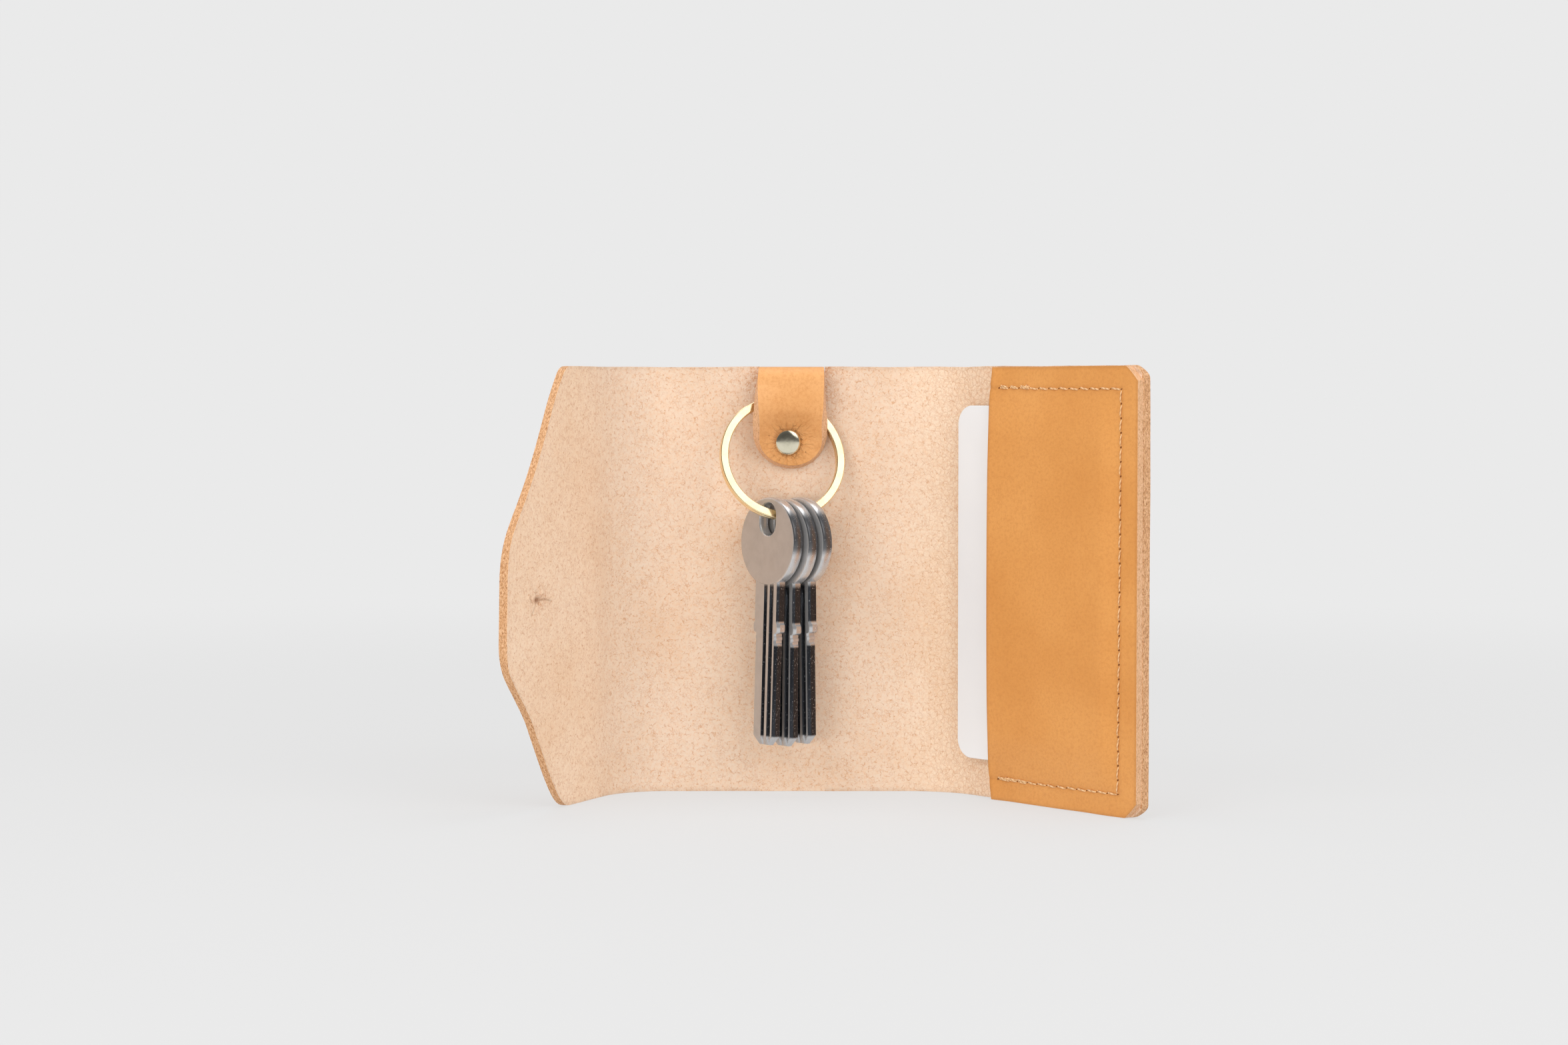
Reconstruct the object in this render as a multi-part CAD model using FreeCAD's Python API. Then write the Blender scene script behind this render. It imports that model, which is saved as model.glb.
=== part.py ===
"""Trifold leather key organiser, standing open.

Millimetres, +Z up. The hide stands on its lower edge. Its back panel lies in the XZ plane, and the
side that holds the keys faces -Y. The origin is in the middle of the hide's thickness, on the lower
edge of the back panel. A place on the hide is given by s, the distance along its middle surface
from the origin (negative to the left), and by d, the distance from that surface towards the inside.
"""
import FreeCAD, Part
import math
import os

from FreeCAD import Matrix, Vector

# ---------------------------------------------------------------- hide
HEIGHT = 104.5              # height of the standing hide
HIDE = 2.0                  # thickness of the hide
HALF = HIDE / 2
LEFT_FLAT = 29.0            # flat length of the back panel, left of the origin
LEFT_RADIUS = 17.0          # resting bend between back panel and left flap
LEFT_TURN = math.radians(66.0)
RIGHT_FLAT = 31.0
RIGHT_RADIUS = 20.0         # resting bend between back panel and pocket side
RIGHT_TURN = math.radians(50.0)
LEFT_END = -96.6            # tip of the left flap
RIGHT_END = 105.6           # free edge of the pocket side

# fold lines, where one stiff stretch of hide hinges on the next
LEFT_FOLD_A = -39.0
LEFT_FOLD_B = -68.5
RIGHT_FOLD_A = 14.3
RIGHT_FOLD_B = 44.7
FOLD_GAP = 1.4             # from a fold line to the stretch that turns on it

# left flap outline: s, height and rounding of its corners, from the lower to the upper edge
FLAP_CORNERS = [
    (-70.2, 0.0, 5.5),
    (-96.6, 36.8, 8.0),
    (-96.6, 62.2, 8.0),
    (-82.9, 79.8, 30.0),
    (-68.6, 104.5, 5.0),
]

# pocket side outline
PANEL_CHAMFER_S, PANEL_CHAMFER_Z = 4.5, 4.0

# ---------------------------------------------------------------- pocket, card and seam
POCKET_START = 58.2         # mouth of the pocket
MOUTH_BULGE = 2.2          # how far the pocket leather stands off the hide at its mouth
FAR_BULGE = 1.15            # and at the far end of the card
SEAM_INSET = 4.9            # seam to the edges of the hide
MOUTH_TO_SEAM = 2.2         # mouth to the first stitch
RAMP = 4.0                  # width over which the pocket leather rises beside the seam
HOLLOW_RAMP = 0.6           # the same inside the pocket
STITCH_PITCH = 3.3
THREAD_RADIUS = 0.35
STITCH_LENGTH = 2.6

CARD_WIDTH, CARD_HEIGHT, CARD_THICK = 54.0, 85.6, 0.8
CARD_ROUND = 4.5
CARD_LOW_Z = 9.45
CARD_IN_S = 99.3            # how deep the card reaches into the pocket
CARD_LEAN = math.radians(1.6)
CARD_CLEAR = 0.12           # between the card and the hide behind it

# ---------------------------------------------------------------- key tab and rivet
TAB_X = 2.0
TAB_WIDTH = 16.0
TAB_FOLD_RADIUS = 3.3       # middle surface of the tab, where it folds over the top edge
TAB_END_Z = 79.6
# height, and distance of the tab's middle surface in front of the back panel's at its left edge,
# middle and right edge: the ring pushes the left edge out, and the rivet pulls the middle in
TAB_SECTIONS = [
    (97.0, 8.0, 6.9, 7.2),
    (94.5, 8.3, 6.5, 7.2),
    (92.0, 7.7, 4.6, 7.0),
    (89.7, 6.5, 2.6, 6.2),
    (87.5, 5.2, 2.0, 4.9),
    (84.0, 3.9, 2.0, 3.5),
    (79.0, 3.0, 2.2, 2.8),
]
RIVET_X, RIVET_Z = 0.9, 86.1
RIVET_RADIUS = 3.3
RIVET_HOLE = 1.35
SOCKET_OUTER, SOCKET_INNER = 1.3, 0.9
POST_RADIUS = 0.85
RIVET_DOME = 0.95

# ---------------------------------------------------------------- split ring
RING_OUTER = 15.5
RING_INNER = 13.5
COIL = 1.0                  # thickness of each turn of the ring
COIL_GAP = 0.04
RING_YAW = 14.0             # degrees, left side towards the viewer
RING_TILT = 17.0            # degrees, lower side towards the viewer
RING_TOP = Vector(-1.43, -4.0, 96.1)   # middle of the wire where it hangs in the tab
FRONT_TURN_START = 119.0    # degrees anticlockwise from the right: cut end of the front turn
JOG_START, JOG_END = 62.0, 98.0
BACK_TURN_END = 57.0

# ---------------------------------------------------------------- keys
KEY_COUNT = 3
KEY_YAW = 52.0              # degrees between a key's face and the back panel
KEY_PITCH = 3.55            # spacing along the ring
BOW_RADIUS = 10.7
BOW_THICK = 2.8
BOW_TOP = 4.1               # above the middle of the ring's wire
BLADE_THICK = 2.6
NECK_WIDTH, BLADE_WIDTH = 9.3, 8.3
SHOULDER_Z, TIP_Z = -28.7, -55.7
STOP_HEIGHT, STOP_OUT = 2.6, 0.5
HOLE_RADIUS, HOLE_DROP, HOLE_LENGTH = 3.0, 0.3, 1.8
GROOVE_DEPTH = 0.75
GROOVES = [(-0.1, 1.3), (2.2, 1.5)]    # middle across the blade, width
TIP_CHAMFER, TIP_BEVEL = 1.8, 0.7


# ---------------------------------------------------------------- the hide's path in plan
def path(s, d=0.0):
    """The point at distance s along the hide and d inside its middle surface."""
    side = 1 if s >= 0 else -1
    flat, radius, turn = (
        (RIGHT_FLAT, RIGHT_RADIUS, RIGHT_TURN) if s >= 0 else (LEFT_FLAT, LEFT_RADIUS, LEFT_TURN)
    )
    run = abs(s)
    angle = min(max((run - flat) / radius, 0.0), turn)
    x = min(run, flat) + radius * math.sin(angle)
    y = radius * (1 - math.cos(angle))
    rest = max(run - flat - radius * turn, 0.0)
    x += rest * math.cos(angle) - d * math.sin(angle)
    y += rest * math.sin(angle) + d * math.cos(angle)
    return Vector(side * x, -y, 0)


def bend_limits(s0, s1):
    """s0, s1 and the ends of straight and bent stretches between them."""
    ends = [
        -LEFT_FLAT - LEFT_RADIUS * LEFT_TURN,
        -LEFT_FLAT,
        RIGHT_FLAT,
        RIGHT_FLAT + RIGHT_RADIUS * RIGHT_TURN,
    ]
    return [s0] + [e for e in ends if s0 < e < s1] + [s1]


def run_edges(s0, s1, d):
    """The edges of the line at depth d from s0 to s1."""
    edges = []
    stops = bend_limits(s0, s1)
    for a, b in zip(stops[:-1], stops[1:]):
        start, middle, end = path(a, d), path((a + b) / 2, d), path(b, d)
        straight = middle.distanceToLine(start, end - start) < 1e-7
        if straight:
            edges.append(Part.LineSegment(start, end).toShape())
        else:
            edges.append(Part.Arc(start, middle, end).toShape())
    return edges


def sheet(s0, s1, d0=-HALF, d1=HALF, z0=0.0, z1=HEIGHT):
    """A stretch of hide from s0 to s1, between depths d0 and d1."""
    edges = run_edges(s0, s1, d0)
    edges += run_edges(s0, s1, d1)
    edges.append(Part.LineSegment(path(s0, d0), path(s0, d1)).toShape())
    edges.append(Part.LineSegment(path(s1, d0), path(s1, d1)).toShape())
    wire = Part.Wire(Part.__sortEdges__(edges))
    solid = Part.Face(wire).extrude(Vector(0, 0, z1 - z0))
    solid.translate(Vector(0, 0, z0))
    return solid


def knuckle(s):
    """The rounded end of a stretch of hide at a fold line."""
    return Part.makeCylinder(HALF, HEIGHT, path(s))


def placed(shape, s):
    """The shape moved from the origin to the place s on the hide, its -Y side still inwards."""
    origin, inside = path(s), path(s, 1.0)
    y = (origin - inside).normalize()
    moved = shape.copy()
    moved.transformShape(Matrix(
        y.y, y.x, 0, origin.x,
        -y.x, y.y, 0, origin.y,
        0, 0, 1, 0,
        0, 0, 0, 1,
    ))
    return moved


def prism(points, depth, start=0.0):
    """An upright outline of (x, z) points, deep along y from start."""
    corners = [Vector(x, start, z) for x, z in points]
    wire = Part.makePolygon(corners + corners[:1])
    return Part.Face(wire).extrude(Vector(0, depth, 0))


def rounded_outline(points, radii, depth, start):
    """An upright outline with rounded corners, deep along y from start."""
    edges = []
    count = len(points)
    ends = []
    for i, (p, r) in enumerate(zip(points, radii)):
        here = Vector(p[0], start, p[1])
        before = Vector(points[i - 1][0], start, points[i - 1][1])
        after = Vector(points[(i + 1) % count][0], start, points[(i + 1) % count][1])
        to_before = (before - here).normalize()
        to_after = (after - here).normalize()
        if r == 0:
            ends.append((here, here))
            continue
        half_angle = to_before.getAngle(to_after) / 2
        reach = r / math.tan(half_angle)
        a, b = here + to_before * reach, here + to_after * reach
        bisector = (to_before + to_after).normalize()
        middle = here + bisector * (r / math.sin(half_angle) - r)
        edges.append(Part.Arc(a, middle, b).toShape())
        ends.append((a, b))
    for i in range(count):
        start_point, end_point = ends[i][1], ends[(i + 1) % count][0]
        edges.append(Part.LineSegment(start_point, end_point).toShape())
    wire = Part.Wire(Part.__sortEdges__(edges))
    return Part.Face(wire).extrude(Vector(0, depth, 0))


# ---------------------------------------------------------------- hide pieces
def back_panel():
    body = sheet(LEFT_FOLD_A, RIGHT_FOLD_A)
    body = body.fuse([knuckle(LEFT_FOLD_A), knuckle(RIGHT_FOLD_A)])
    left = TAB_X - TAB_WIDTH / 2
    notch = Part.makeBox(TAB_WIDTH, 4 * HIDE, HEIGHT, Vector(left, -2 * HIDE, tab_fold_z()))
    hole = Part.makeCylinder(RIVET_HOLE, 4 * HIDE, Vector(RIVET_X, -2 * HIDE, RIVET_Z), Vector(0, 1, 0))
    return body.cut([notch, hole]).removeSplitter()


def flap_outline():
    """A thick block with the outline of the tapered flap, far enough past its root for the spine."""
    root = LEFT_FOLD_B - FOLD_GAP
    past = 40.0
    corners = [(past, HEIGHT), (past, 0.0)] + [(s - root, z) for s, z, r in FLAP_CORNERS]
    radii = [0, 0] + [r for s, z, r in FLAP_CORNERS]
    return placed(rounded_outline(corners, radii, 40.0, -20.0), root)


def left_spine():
    spine = sheet(LEFT_FOLD_B, LEFT_FOLD_A - FOLD_GAP).fuse(knuckle(LEFT_FOLD_B)).removeSplitter()
    return spine.common(flap_outline())


def left_flap():
    return sheet(LEFT_END, LEFT_FOLD_B - FOLD_GAP).common(flap_outline())


def right_spine():
    return sheet(RIGHT_FOLD_A + FOLD_GAP, RIGHT_FOLD_B).fuse(knuckle(RIGHT_FOLD_B)).removeSplitter()


def corner_cutters():
    """Two wedges that take the corners off the pocket side."""
    x, c, h = RIGHT_END - POCKET_START, PANEL_CHAMFER_S, PANEL_CHAMFER_Z
    rise = h * (1 + 1 / c)
    low = [(x - c, 0), (x - c, -1), (x + 1, -1), (x + 1, rise), (x, h)]
    return [
        placed(prism(points, 12 * HIDE, -6 * HIDE), POCKET_START)
        for points in (low, [(a, HEIGHT - b) for a, b in low])
    ]


def right_panel():
    return sheet(RIGHT_FOLD_B + FOLD_GAP, RIGHT_END).cut(corner_cutters()).removeSplitter()


def extruded(points, along):
    """A closed outline extruded along a vector."""
    return Part.Face(Part.makePolygon(points + points[:1])).extrude(along)


def rise(x0, x1, ramp, base, extra_x=0.0):
    """The raised middle of the pocket: highest at its mouth, ramped down beside the seam."""
    low, high = SEAM_INSET + 0.6, HEIGHT - SEAM_INSET - 0.6
    slope = (MOUTH_BULGE - FAR_BULGE) / (x1 - 0.0)
    front = -(base + MOUTH_BULGE + slope * extra_x)
    back = -(base + FAR_BULGE)
    plan = [
        Vector(x0, -base, low), Vector(x1, -base, low), Vector(x1 - ramp, back, low),
        Vector(x0, front, low),
    ]
    tall = -(base + 2 * MOUTH_BULGE)
    reach = ramp * 2
    side = [
        Vector(x0, -base, low), Vector(x0, -base, high), Vector(x0, tall, high - reach),
        Vector(x0, tall, low + reach),
    ]
    return extruded(plan, Vector(0, 0, high - low)).common(extruded(side, Vector(x1 - x0, 0, 0)))


def pocket_panel():
    """The pocket leather: flat on the hide round its three sewn sides, raised over the card."""
    width = RIGHT_END - POCKET_START
    plate = Part.makeBox(width, HIDE, HEIGHT, Vector(0, -HALF - HIDE, 0))
    far = width - SEAM_INSET - 0.6
    raised = rise(0, far, RAMP, HALF + HIDE)
    hollow = rise(-1, far, HOLLOW_RAMP, HALF, 1.0)
    body = plate.fuse(raised).cut(hollow)
    return placed(body, POCKET_START).cut(corner_cutters())


def card():
    """A blank card, deep in the pocket and leaning a little out of its mouth."""
    far = CARD_IN_S - POCKET_START
    outline = [
        (0, CARD_LOW_Z), (0, CARD_LOW_Z + CARD_HEIGHT),
        (-CARD_WIDTH, CARD_LOW_Z + CARD_HEIGHT), (-CARD_WIDTH, CARD_LOW_Z),
    ]
    body = rounded_outline(outline, [CARD_ROUND] * 4, CARD_THICK, -CARD_THICK)
    body.rotate(Vector(0, 0, 0), Vector(0, 0, 1), math.degrees(CARD_LEAN))
    body.translate(Vector(far, -HALF - CARD_CLEAR, 0))
    return placed(body, POCKET_START)


# ---------------------------------------------------------------- seam
def seam_points():
    """The stitches' ends as (s, z), from the mouth at the top round to the mouth below."""
    seam_s = RIGHT_END - SEAM_INSET
    high, low = HEIGHT - SEAM_INSET, SEAM_INSET
    start = POCKET_START + MOUTH_TO_SEAM
    across = round((seam_s - start) / STITCH_PITCH)
    down = round((high - low) / STITCH_PITCH)
    top = [(start + (seam_s - start) * i / across, high) for i in range(across)]
    side = [(seam_s, high + (low - high) * i / down) for i in range(down)]
    bottom = [(seam_s + (start - seam_s) * i / across, low) for i in range(across + 1)]
    return top + side + bottom


def half_round(start, end, side):
    """A half-round length of thread, its flat side on the leather and bulging along Y by side."""
    along = (end - start).normalize()
    across = Vector(0, 1, 0).cross(along) * THREAD_RADIUS
    arc = Part.Arc(start - across, start + Vector(0, side * THREAD_RADIUS, 0), start + across).toShape()
    base = Part.LineSegment(start + across, start - across).toShape()
    return Part.Face(Part.Wire([arc, base])).extrude(end - start)


def stitches(y, side):
    """One short length of thread per stitch, lying on the leather at depth y."""
    points = seam_points()
    solids = []
    for (s0, z0), (s1, z1) in zip(points[:-1], points[1:]):
        a, b = Vector(s0 - POCKET_START, y, z0), Vector(s1 - POCKET_START, y, z1)
        reach = (b - a).normalize() * (STITCH_LENGTH / 2)
        middle = (a + b) / 2
        solids.append(half_round(middle - reach, middle + reach, side))
    return placed(Part.makeCompound(solids), POCKET_START)


def pocket_thread_front():
    return stitches(-HALF - HIDE, -1)


def pocket_thread_back():
    return stitches(HALF, 1)


# ---------------------------------------------------------------- key tab and rivet
def tab_fold_z():
    """Height at which the tab leaves the back panel's plane."""
    return HEIGHT - TAB_FOLD_RADIUS - HALF


def tab_section(z, left, middle, right):
    """A level cut through the tab as a closed wire."""
    x0, x1, x2 = TAB_X - TAB_WIDTH / 2, TAB_X, TAB_X + TAB_WIDTH / 2
    edges = []
    corners = []
    for side in (HALF, -HALF):
        points = [
            Vector(x0, -(left + side), z), Vector(x1, -(middle + side), z), Vector(x2, -(right + side), z),
        ]
        curve = Part.BSplineCurve()
        curve.interpolate(points)
        edges.append(curve.toShape())
        corners.append((points[0], points[2]))
    joins = [Part.LineSegment(corners[0][i], corners[1][i]).toShape() for i in (0, 1)]
    return Part.Wire(Part.__sortEdges__(edges + joins))


def key_tab():
    """The strap that is cut in one with the hide, folded over the top edge and riveted back to it."""
    left, fold_z = TAB_X - TAB_WIDTH / 2, tab_fold_z()
    centre = Vector(left, -TAB_FOLD_RADIUS, fold_z)
    along = Vector(1, 0, 0)
    outer = Part.makeCylinder(TAB_FOLD_RADIUS + HALF, TAB_WIDTH, centre, along)
    inner = Part.makeCylinder(TAB_FOLD_RADIUS - HALF, TAB_WIDTH, centre, along)
    below = Part.makeBox(TAB_WIDTH, 30, 30, Vector(left, -TAB_FOLD_RADIUS - 15, fold_z - 30))
    fold = outer.cut([inner, below])
    front = 2 * TAB_FOLD_RADIUS
    sections = [tab_section(fold_z, front, front, front)]
    sections += [tab_section(*values) for values in TAB_SECTIONS]
    strap = Part.makeLoft(sections, True, False)
    radius = TAB_WIDTH / 2
    end = Part.makeCylinder(radius, 40, Vector(TAB_X, -30, TAB_END_Z + radius), Vector(0, 1, 0))
    upper = Part.makeBox(TAB_WIDTH, 40, HEIGHT, Vector(left, -30, TAB_END_Z + radius))
    strap = strap.common(end.fuse(upper).removeSplitter())
    tab = fold.fuse(strap)
    seat_y = -(HALF + HIDE)
    seat = Part.makeCylinder(RIVET_RADIUS + 0.1, 20, Vector(RIVET_X, seat_y, RIVET_Z), Vector(0, -1, 0))
    hole = Part.makeCylinder(RIVET_HOLE, 40, Vector(RIVET_X, -30, RIVET_Z), Vector(0, 1, 0))
    behind = Part.makeBox(TAB_WIDTH, 4, fold_z, Vector(left, -HALF, 0))
    return tab.cut([seat, hole, behind])


def dome(outward):
    """A shallow rivet head whose flat side is at the origin, bulging along Y by outward."""
    sphere_radius = (RIVET_RADIUS ** 2 + RIVET_DOME ** 2) / (2 * RIVET_DOME)
    ball = Part.makeSphere(sphere_radius, Vector(0, outward * (RIVET_DOME - sphere_radius), 0))
    disc = Part.makeCylinder(RIVET_RADIUS - 0.05, RIVET_DOME, Vector(0, 0, 0), Vector(0, outward, 0))
    return ball.common(disc)


def rivet_cap():
    """The front head of the rivet, with its hollow socket through both leathers."""
    length = 2 * HIDE - 0.2
    socket = Part.makeCylinder(SOCKET_OUTER, length, Vector(0, 0, 0), Vector(0, 1, 0))
    bore = Part.makeCylinder(SOCKET_INNER, length, Vector(0, 0, 0), Vector(0, 1, 0))
    head = dome(-1).fuse(socket).cut(bore)
    head.translate(Vector(RIVET_X, -(HALF + HIDE), RIVET_Z))
    return head


def rivet_post():
    """The rear head of the rivet, with the post that locks in the socket."""
    post = Part.makeCylinder(POST_RADIUS, 2 * HIDE - 0.4, Vector(0, 0, 0), Vector(0, -1, 0))
    head = dome(1).fuse(post)
    head.translate(Vector(RIVET_X, HALF, RIVET_Z))
    return head


# ---------------------------------------------------------------- split ring
def ring_turning():
    """The ring's rotation: tilted, then yawed."""
    turn = Matrix()
    turn.rotateX(math.radians(-RING_TILT))
    turn.rotateZ(math.radians(RING_YAW))
    return turn


def ring_point(angle, y=0.0):
    """The middle of the ring's wire at an angle in degrees, anticlockwise from the right."""
    middle = (RING_OUTER + RING_INNER) / 2
    a = math.radians(angle)
    local = Vector(middle * math.cos(a), y, middle * (math.sin(a) - 1))
    return RING_TOP + ring_turning().multVec(local)


def ring_section(angle, y):
    """The wire's square section at an angle, at depth y in the ring's own frame."""
    a = math.radians(angle)
    out = Vector(math.cos(a), 0, math.sin(a))
    near, far = Vector(0, y - COIL / 2, 0), Vector(0, y + COIL / 2, 0)
    corners = [
        out * RING_INNER + near, out * RING_OUTER + near, out * RING_OUTER + far, out * RING_INNER + far,
    ]
    return Part.makePolygon(corners + corners[:1])


def ring_arc(start, end, y):
    """A level stretch of one turn, from start to end in degrees."""
    face = Part.Face(ring_section(start, y))
    return face.revolve(Vector(0, 0, 0), Vector(0, -1, 0), end - start)


def split_ring():
    """Two flat turns of square wire, joined where the wire steps from the front turn to the back one."""
    level = (COIL + COIL_GAP) / 2
    front = ring_arc(FRONT_TURN_START, 360 + JOG_START, -level)
    back = ring_arc(360 + JOG_END, 720 + BACK_TURN_END, level)
    steps = 8
    sections = []
    for i in range(steps + 1):
        share = i / steps
        smooth = share * share * (3 - 2 * share)
        angle = JOG_START + (JOG_END - JOG_START) * share
        sections.append(ring_section(angle, -level + 2 * level * smooth))
    jog = Part.makeLoft(sections, True, False)
    body = front.fuse([jog, back])
    body.translate(Vector(0, 0, -(RING_OUTER + RING_INNER) / 2))
    body.transformShape(ring_turning())
    body.translate(RING_TOP)
    return body


# ---------------------------------------------------------------- keys
def key_blank():
    """A key in its own frame: pivot at the ring's wire, blade down -Z, face towards -Y."""
    bow_z = BOW_TOP - BOW_RADIUS
    bow = Part.makeCylinder(BOW_RADIUS, BOW_THICK, Vector(0, -BOW_THICK / 2, bow_z), Vector(0, 1, 0))
    half, narrow = NECK_WIDTH / 2, BLADE_WIDTH / 2
    stop_z = SHOULDER_Z + STOP_HEIGHT
    outline = [
        (-half, bow_z), (half, bow_z), (half, stop_z), (half + STOP_OUT, stop_z - 0.5),
        (half + STOP_OUT, SHOULDER_Z + 0.5), (half, SHOULDER_Z), (narrow, SHOULDER_Z),
        (narrow, TIP_Z + TIP_CHAMFER), (narrow - TIP_CHAMFER, TIP_Z),
        (-narrow + TIP_CHAMFER, TIP_Z), (-narrow, TIP_Z + TIP_CHAMFER), (-narrow, SHOULDER_Z),
        (-half, SHOULDER_Z), (-half - STOP_OUT, SHOULDER_Z + 0.5), (-half - STOP_OUT, stop_z - 0.5),
        (-half, stop_z),
    ]
    blade = prism(outline, BLADE_THICK, -BLADE_THICK / 2)
    cuts = []
    groove_top = bow_z - BOW_RADIUS
    for middle, width in GROOVES:
        for face in (-1, 1):
            y = face * BLADE_THICK / 2 - (0 if face < 0 else GROOVE_DEPTH)
            start = Vector(face * -middle - width / 2, y, TIP_Z - 1)
            cuts.append(Part.makeBox(width, GROOVE_DEPTH, groove_top - TIP_Z + 1, start))
    for face in (-1, 1):
        y = face * BLADE_THICK / 2
        wedge = [
            Vector(-half - 1, y, TIP_Z - 1e-3), Vector(-half - 1, y - face * TIP_BEVEL, TIP_Z - 1e-3),
            Vector(-half - 1, y, TIP_Z + 2 * TIP_BEVEL),
        ]
        face_wire = Part.Face(Part.makePolygon(wedge + wedge[:1]))
        cuts.append(face_wire.extrude(Vector(NECK_WIDTH + 2, 0, 0)))
    hole_top = Vector(0, -BOW_THICK, -HOLE_DROP)
    hole_low = Vector(0, -BOW_THICK, -HOLE_DROP - HOLE_LENGTH)
    cuts.append(Part.makeCylinder(HOLE_RADIUS, 2 * BOW_THICK, hole_top, Vector(0, 1, 0)))
    cuts.append(Part.makeCylinder(HOLE_RADIUS, 2 * BOW_THICK, hole_low, Vector(0, 1, 0)))
    corner = Vector(-HOLE_RADIUS, -BOW_THICK, -HOLE_DROP - HOLE_LENGTH)
    cuts.append(Part.makeBox(2 * HOLE_RADIUS, 2 * BOW_THICK, HOLE_LENGTH, corner))
    return blade.cut(cuts[:-3]).fuse(bow).cut(cuts[-3:]).removeSplitter()


def key(number):
    """Key number 0 to KEY_COUNT - 1, from the left, hanging on the ring."""
    middle = (RING_OUTER + RING_INNER) / 2
    step = math.degrees(KEY_PITCH / middle)
    pivot = ring_point(270 + step * (number - (KEY_COUNT - 1) / 2))
    body = key_blank()
    body.rotate(Vector(0, 0, 0), Vector(0, 0, 1), -KEY_YAW)
    body.translate(pivot)
    return body


# ---------------------------------------------------------------- output
def pieces():
    made = {
        "back_panel": back_panel(),
        "key_tab": key_tab(),
        "rivet_cap": rivet_cap(),
        "rivet_post": rivet_post(),
        "left_spine": left_spine(),
        "left_flap": left_flap(),
        "right_spine": right_spine(),
        "right_panel": right_panel(),
        "pocket_panel": pocket_panel(),
        "pocket_thread_front": pocket_thread_front(),
        "pocket_thread_back": pocket_thread_back(),
        "card": card(),
        "split_ring": split_ring(),
    }
    for number in range(KEY_COUNT):
        made[f"key_{number + 1}"] = key(number)
    return made


def main():
    os.makedirs("parts", exist_ok=True)
    for name, shape in pieces().items():
        shape.exportStep(f"parts/{name}.step")
        box = shape.optimalBoundingBox()
        print(
            f"{name:22s} valid {shape.isValid()} solids {len(shape.Solids)} volume {shape.Volume:9.2f}"
            f"  x {box.XMin:7.2f} {box.XMax:7.2f}  y {box.YMin:7.2f} {box.YMax:7.2f}"
            f"  z {box.ZMin:7.2f} {box.ZMax:7.2f}"
        )


main()
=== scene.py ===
"""Leather key organiser, standing open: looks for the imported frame."""

import math
import random

import bmesh
import bpy
from mathutils import Matrix, Vector, noise

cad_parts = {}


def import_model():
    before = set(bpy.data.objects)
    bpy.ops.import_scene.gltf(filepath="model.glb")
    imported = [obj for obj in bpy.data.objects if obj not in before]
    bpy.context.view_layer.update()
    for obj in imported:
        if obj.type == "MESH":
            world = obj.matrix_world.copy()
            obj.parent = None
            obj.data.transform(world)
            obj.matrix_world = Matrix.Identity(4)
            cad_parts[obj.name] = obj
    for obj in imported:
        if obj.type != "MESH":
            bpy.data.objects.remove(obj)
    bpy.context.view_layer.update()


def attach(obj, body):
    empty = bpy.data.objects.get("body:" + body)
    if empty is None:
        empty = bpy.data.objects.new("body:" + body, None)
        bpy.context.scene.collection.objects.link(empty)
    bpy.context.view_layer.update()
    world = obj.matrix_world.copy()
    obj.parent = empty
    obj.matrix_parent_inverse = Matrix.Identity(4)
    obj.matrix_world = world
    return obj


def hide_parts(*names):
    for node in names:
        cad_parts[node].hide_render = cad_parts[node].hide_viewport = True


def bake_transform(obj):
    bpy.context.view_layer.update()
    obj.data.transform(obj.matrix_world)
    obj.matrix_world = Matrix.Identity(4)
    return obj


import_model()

# Lengths are millimetres, as in the CAD. A place on the hide is its distance s along the leather from x = 0
# in the back panel, its height z, and its depth d from the leather's middle surface towards the keys.
MM = 0.001
HEIGHT, HALF = 104.5, 1.0   # of the hide, and half its thickness
LEFT_FLAT, LEFT_RADIUS, LEFT_TURN = 29.0, 17.0, math.radians(66.0)     # flat this far, then the left fold
RIGHT_FLAT, RIGHT_RADIUS, RIGHT_TURN = 31.0, 20.0, math.radians(50.0)
LEFT_END, RIGHT_END = -96.6, 105.6
POCKET_START = 58.2
SEAM_INSET = 4.9
TAB_LEFT, TAB_RIGHT, TAB_ROOT = -6.0, 10.0, 100.2       # the notch in the top edge for the key tab
TAB_MIDDLE, TAB_HALF_WIDE, TAB_END = 2.0, 8.0, 79.6
PUCKER = (-82.2, 49.9)      # the small creased spot on the flap
BOW_R, BOW_Z = 10.7, 4.1 - 10.7   # a key's round head, from the place where it hangs
GROOVE_TOP, SHOULDER, TIP = -17.4, -28.7, -55.7   # heights on a key


# ---- numbers
def smooth(a, b, x):
    t = min(max((x - a) / (b - a), 0.0), 1.0)
    return t * t * (3 - 2 * t)


def lerp(a, b, t):
    return a + (b - a) * t


def wave(x, y, seed=0.0):
    """Smooth noise from -1 to 1 for a position in units of its wavelength."""
    return noise.noise(Vector((x + 31.7 * seed, y - 17.3 * seed, 5.1 * seed)))


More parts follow.
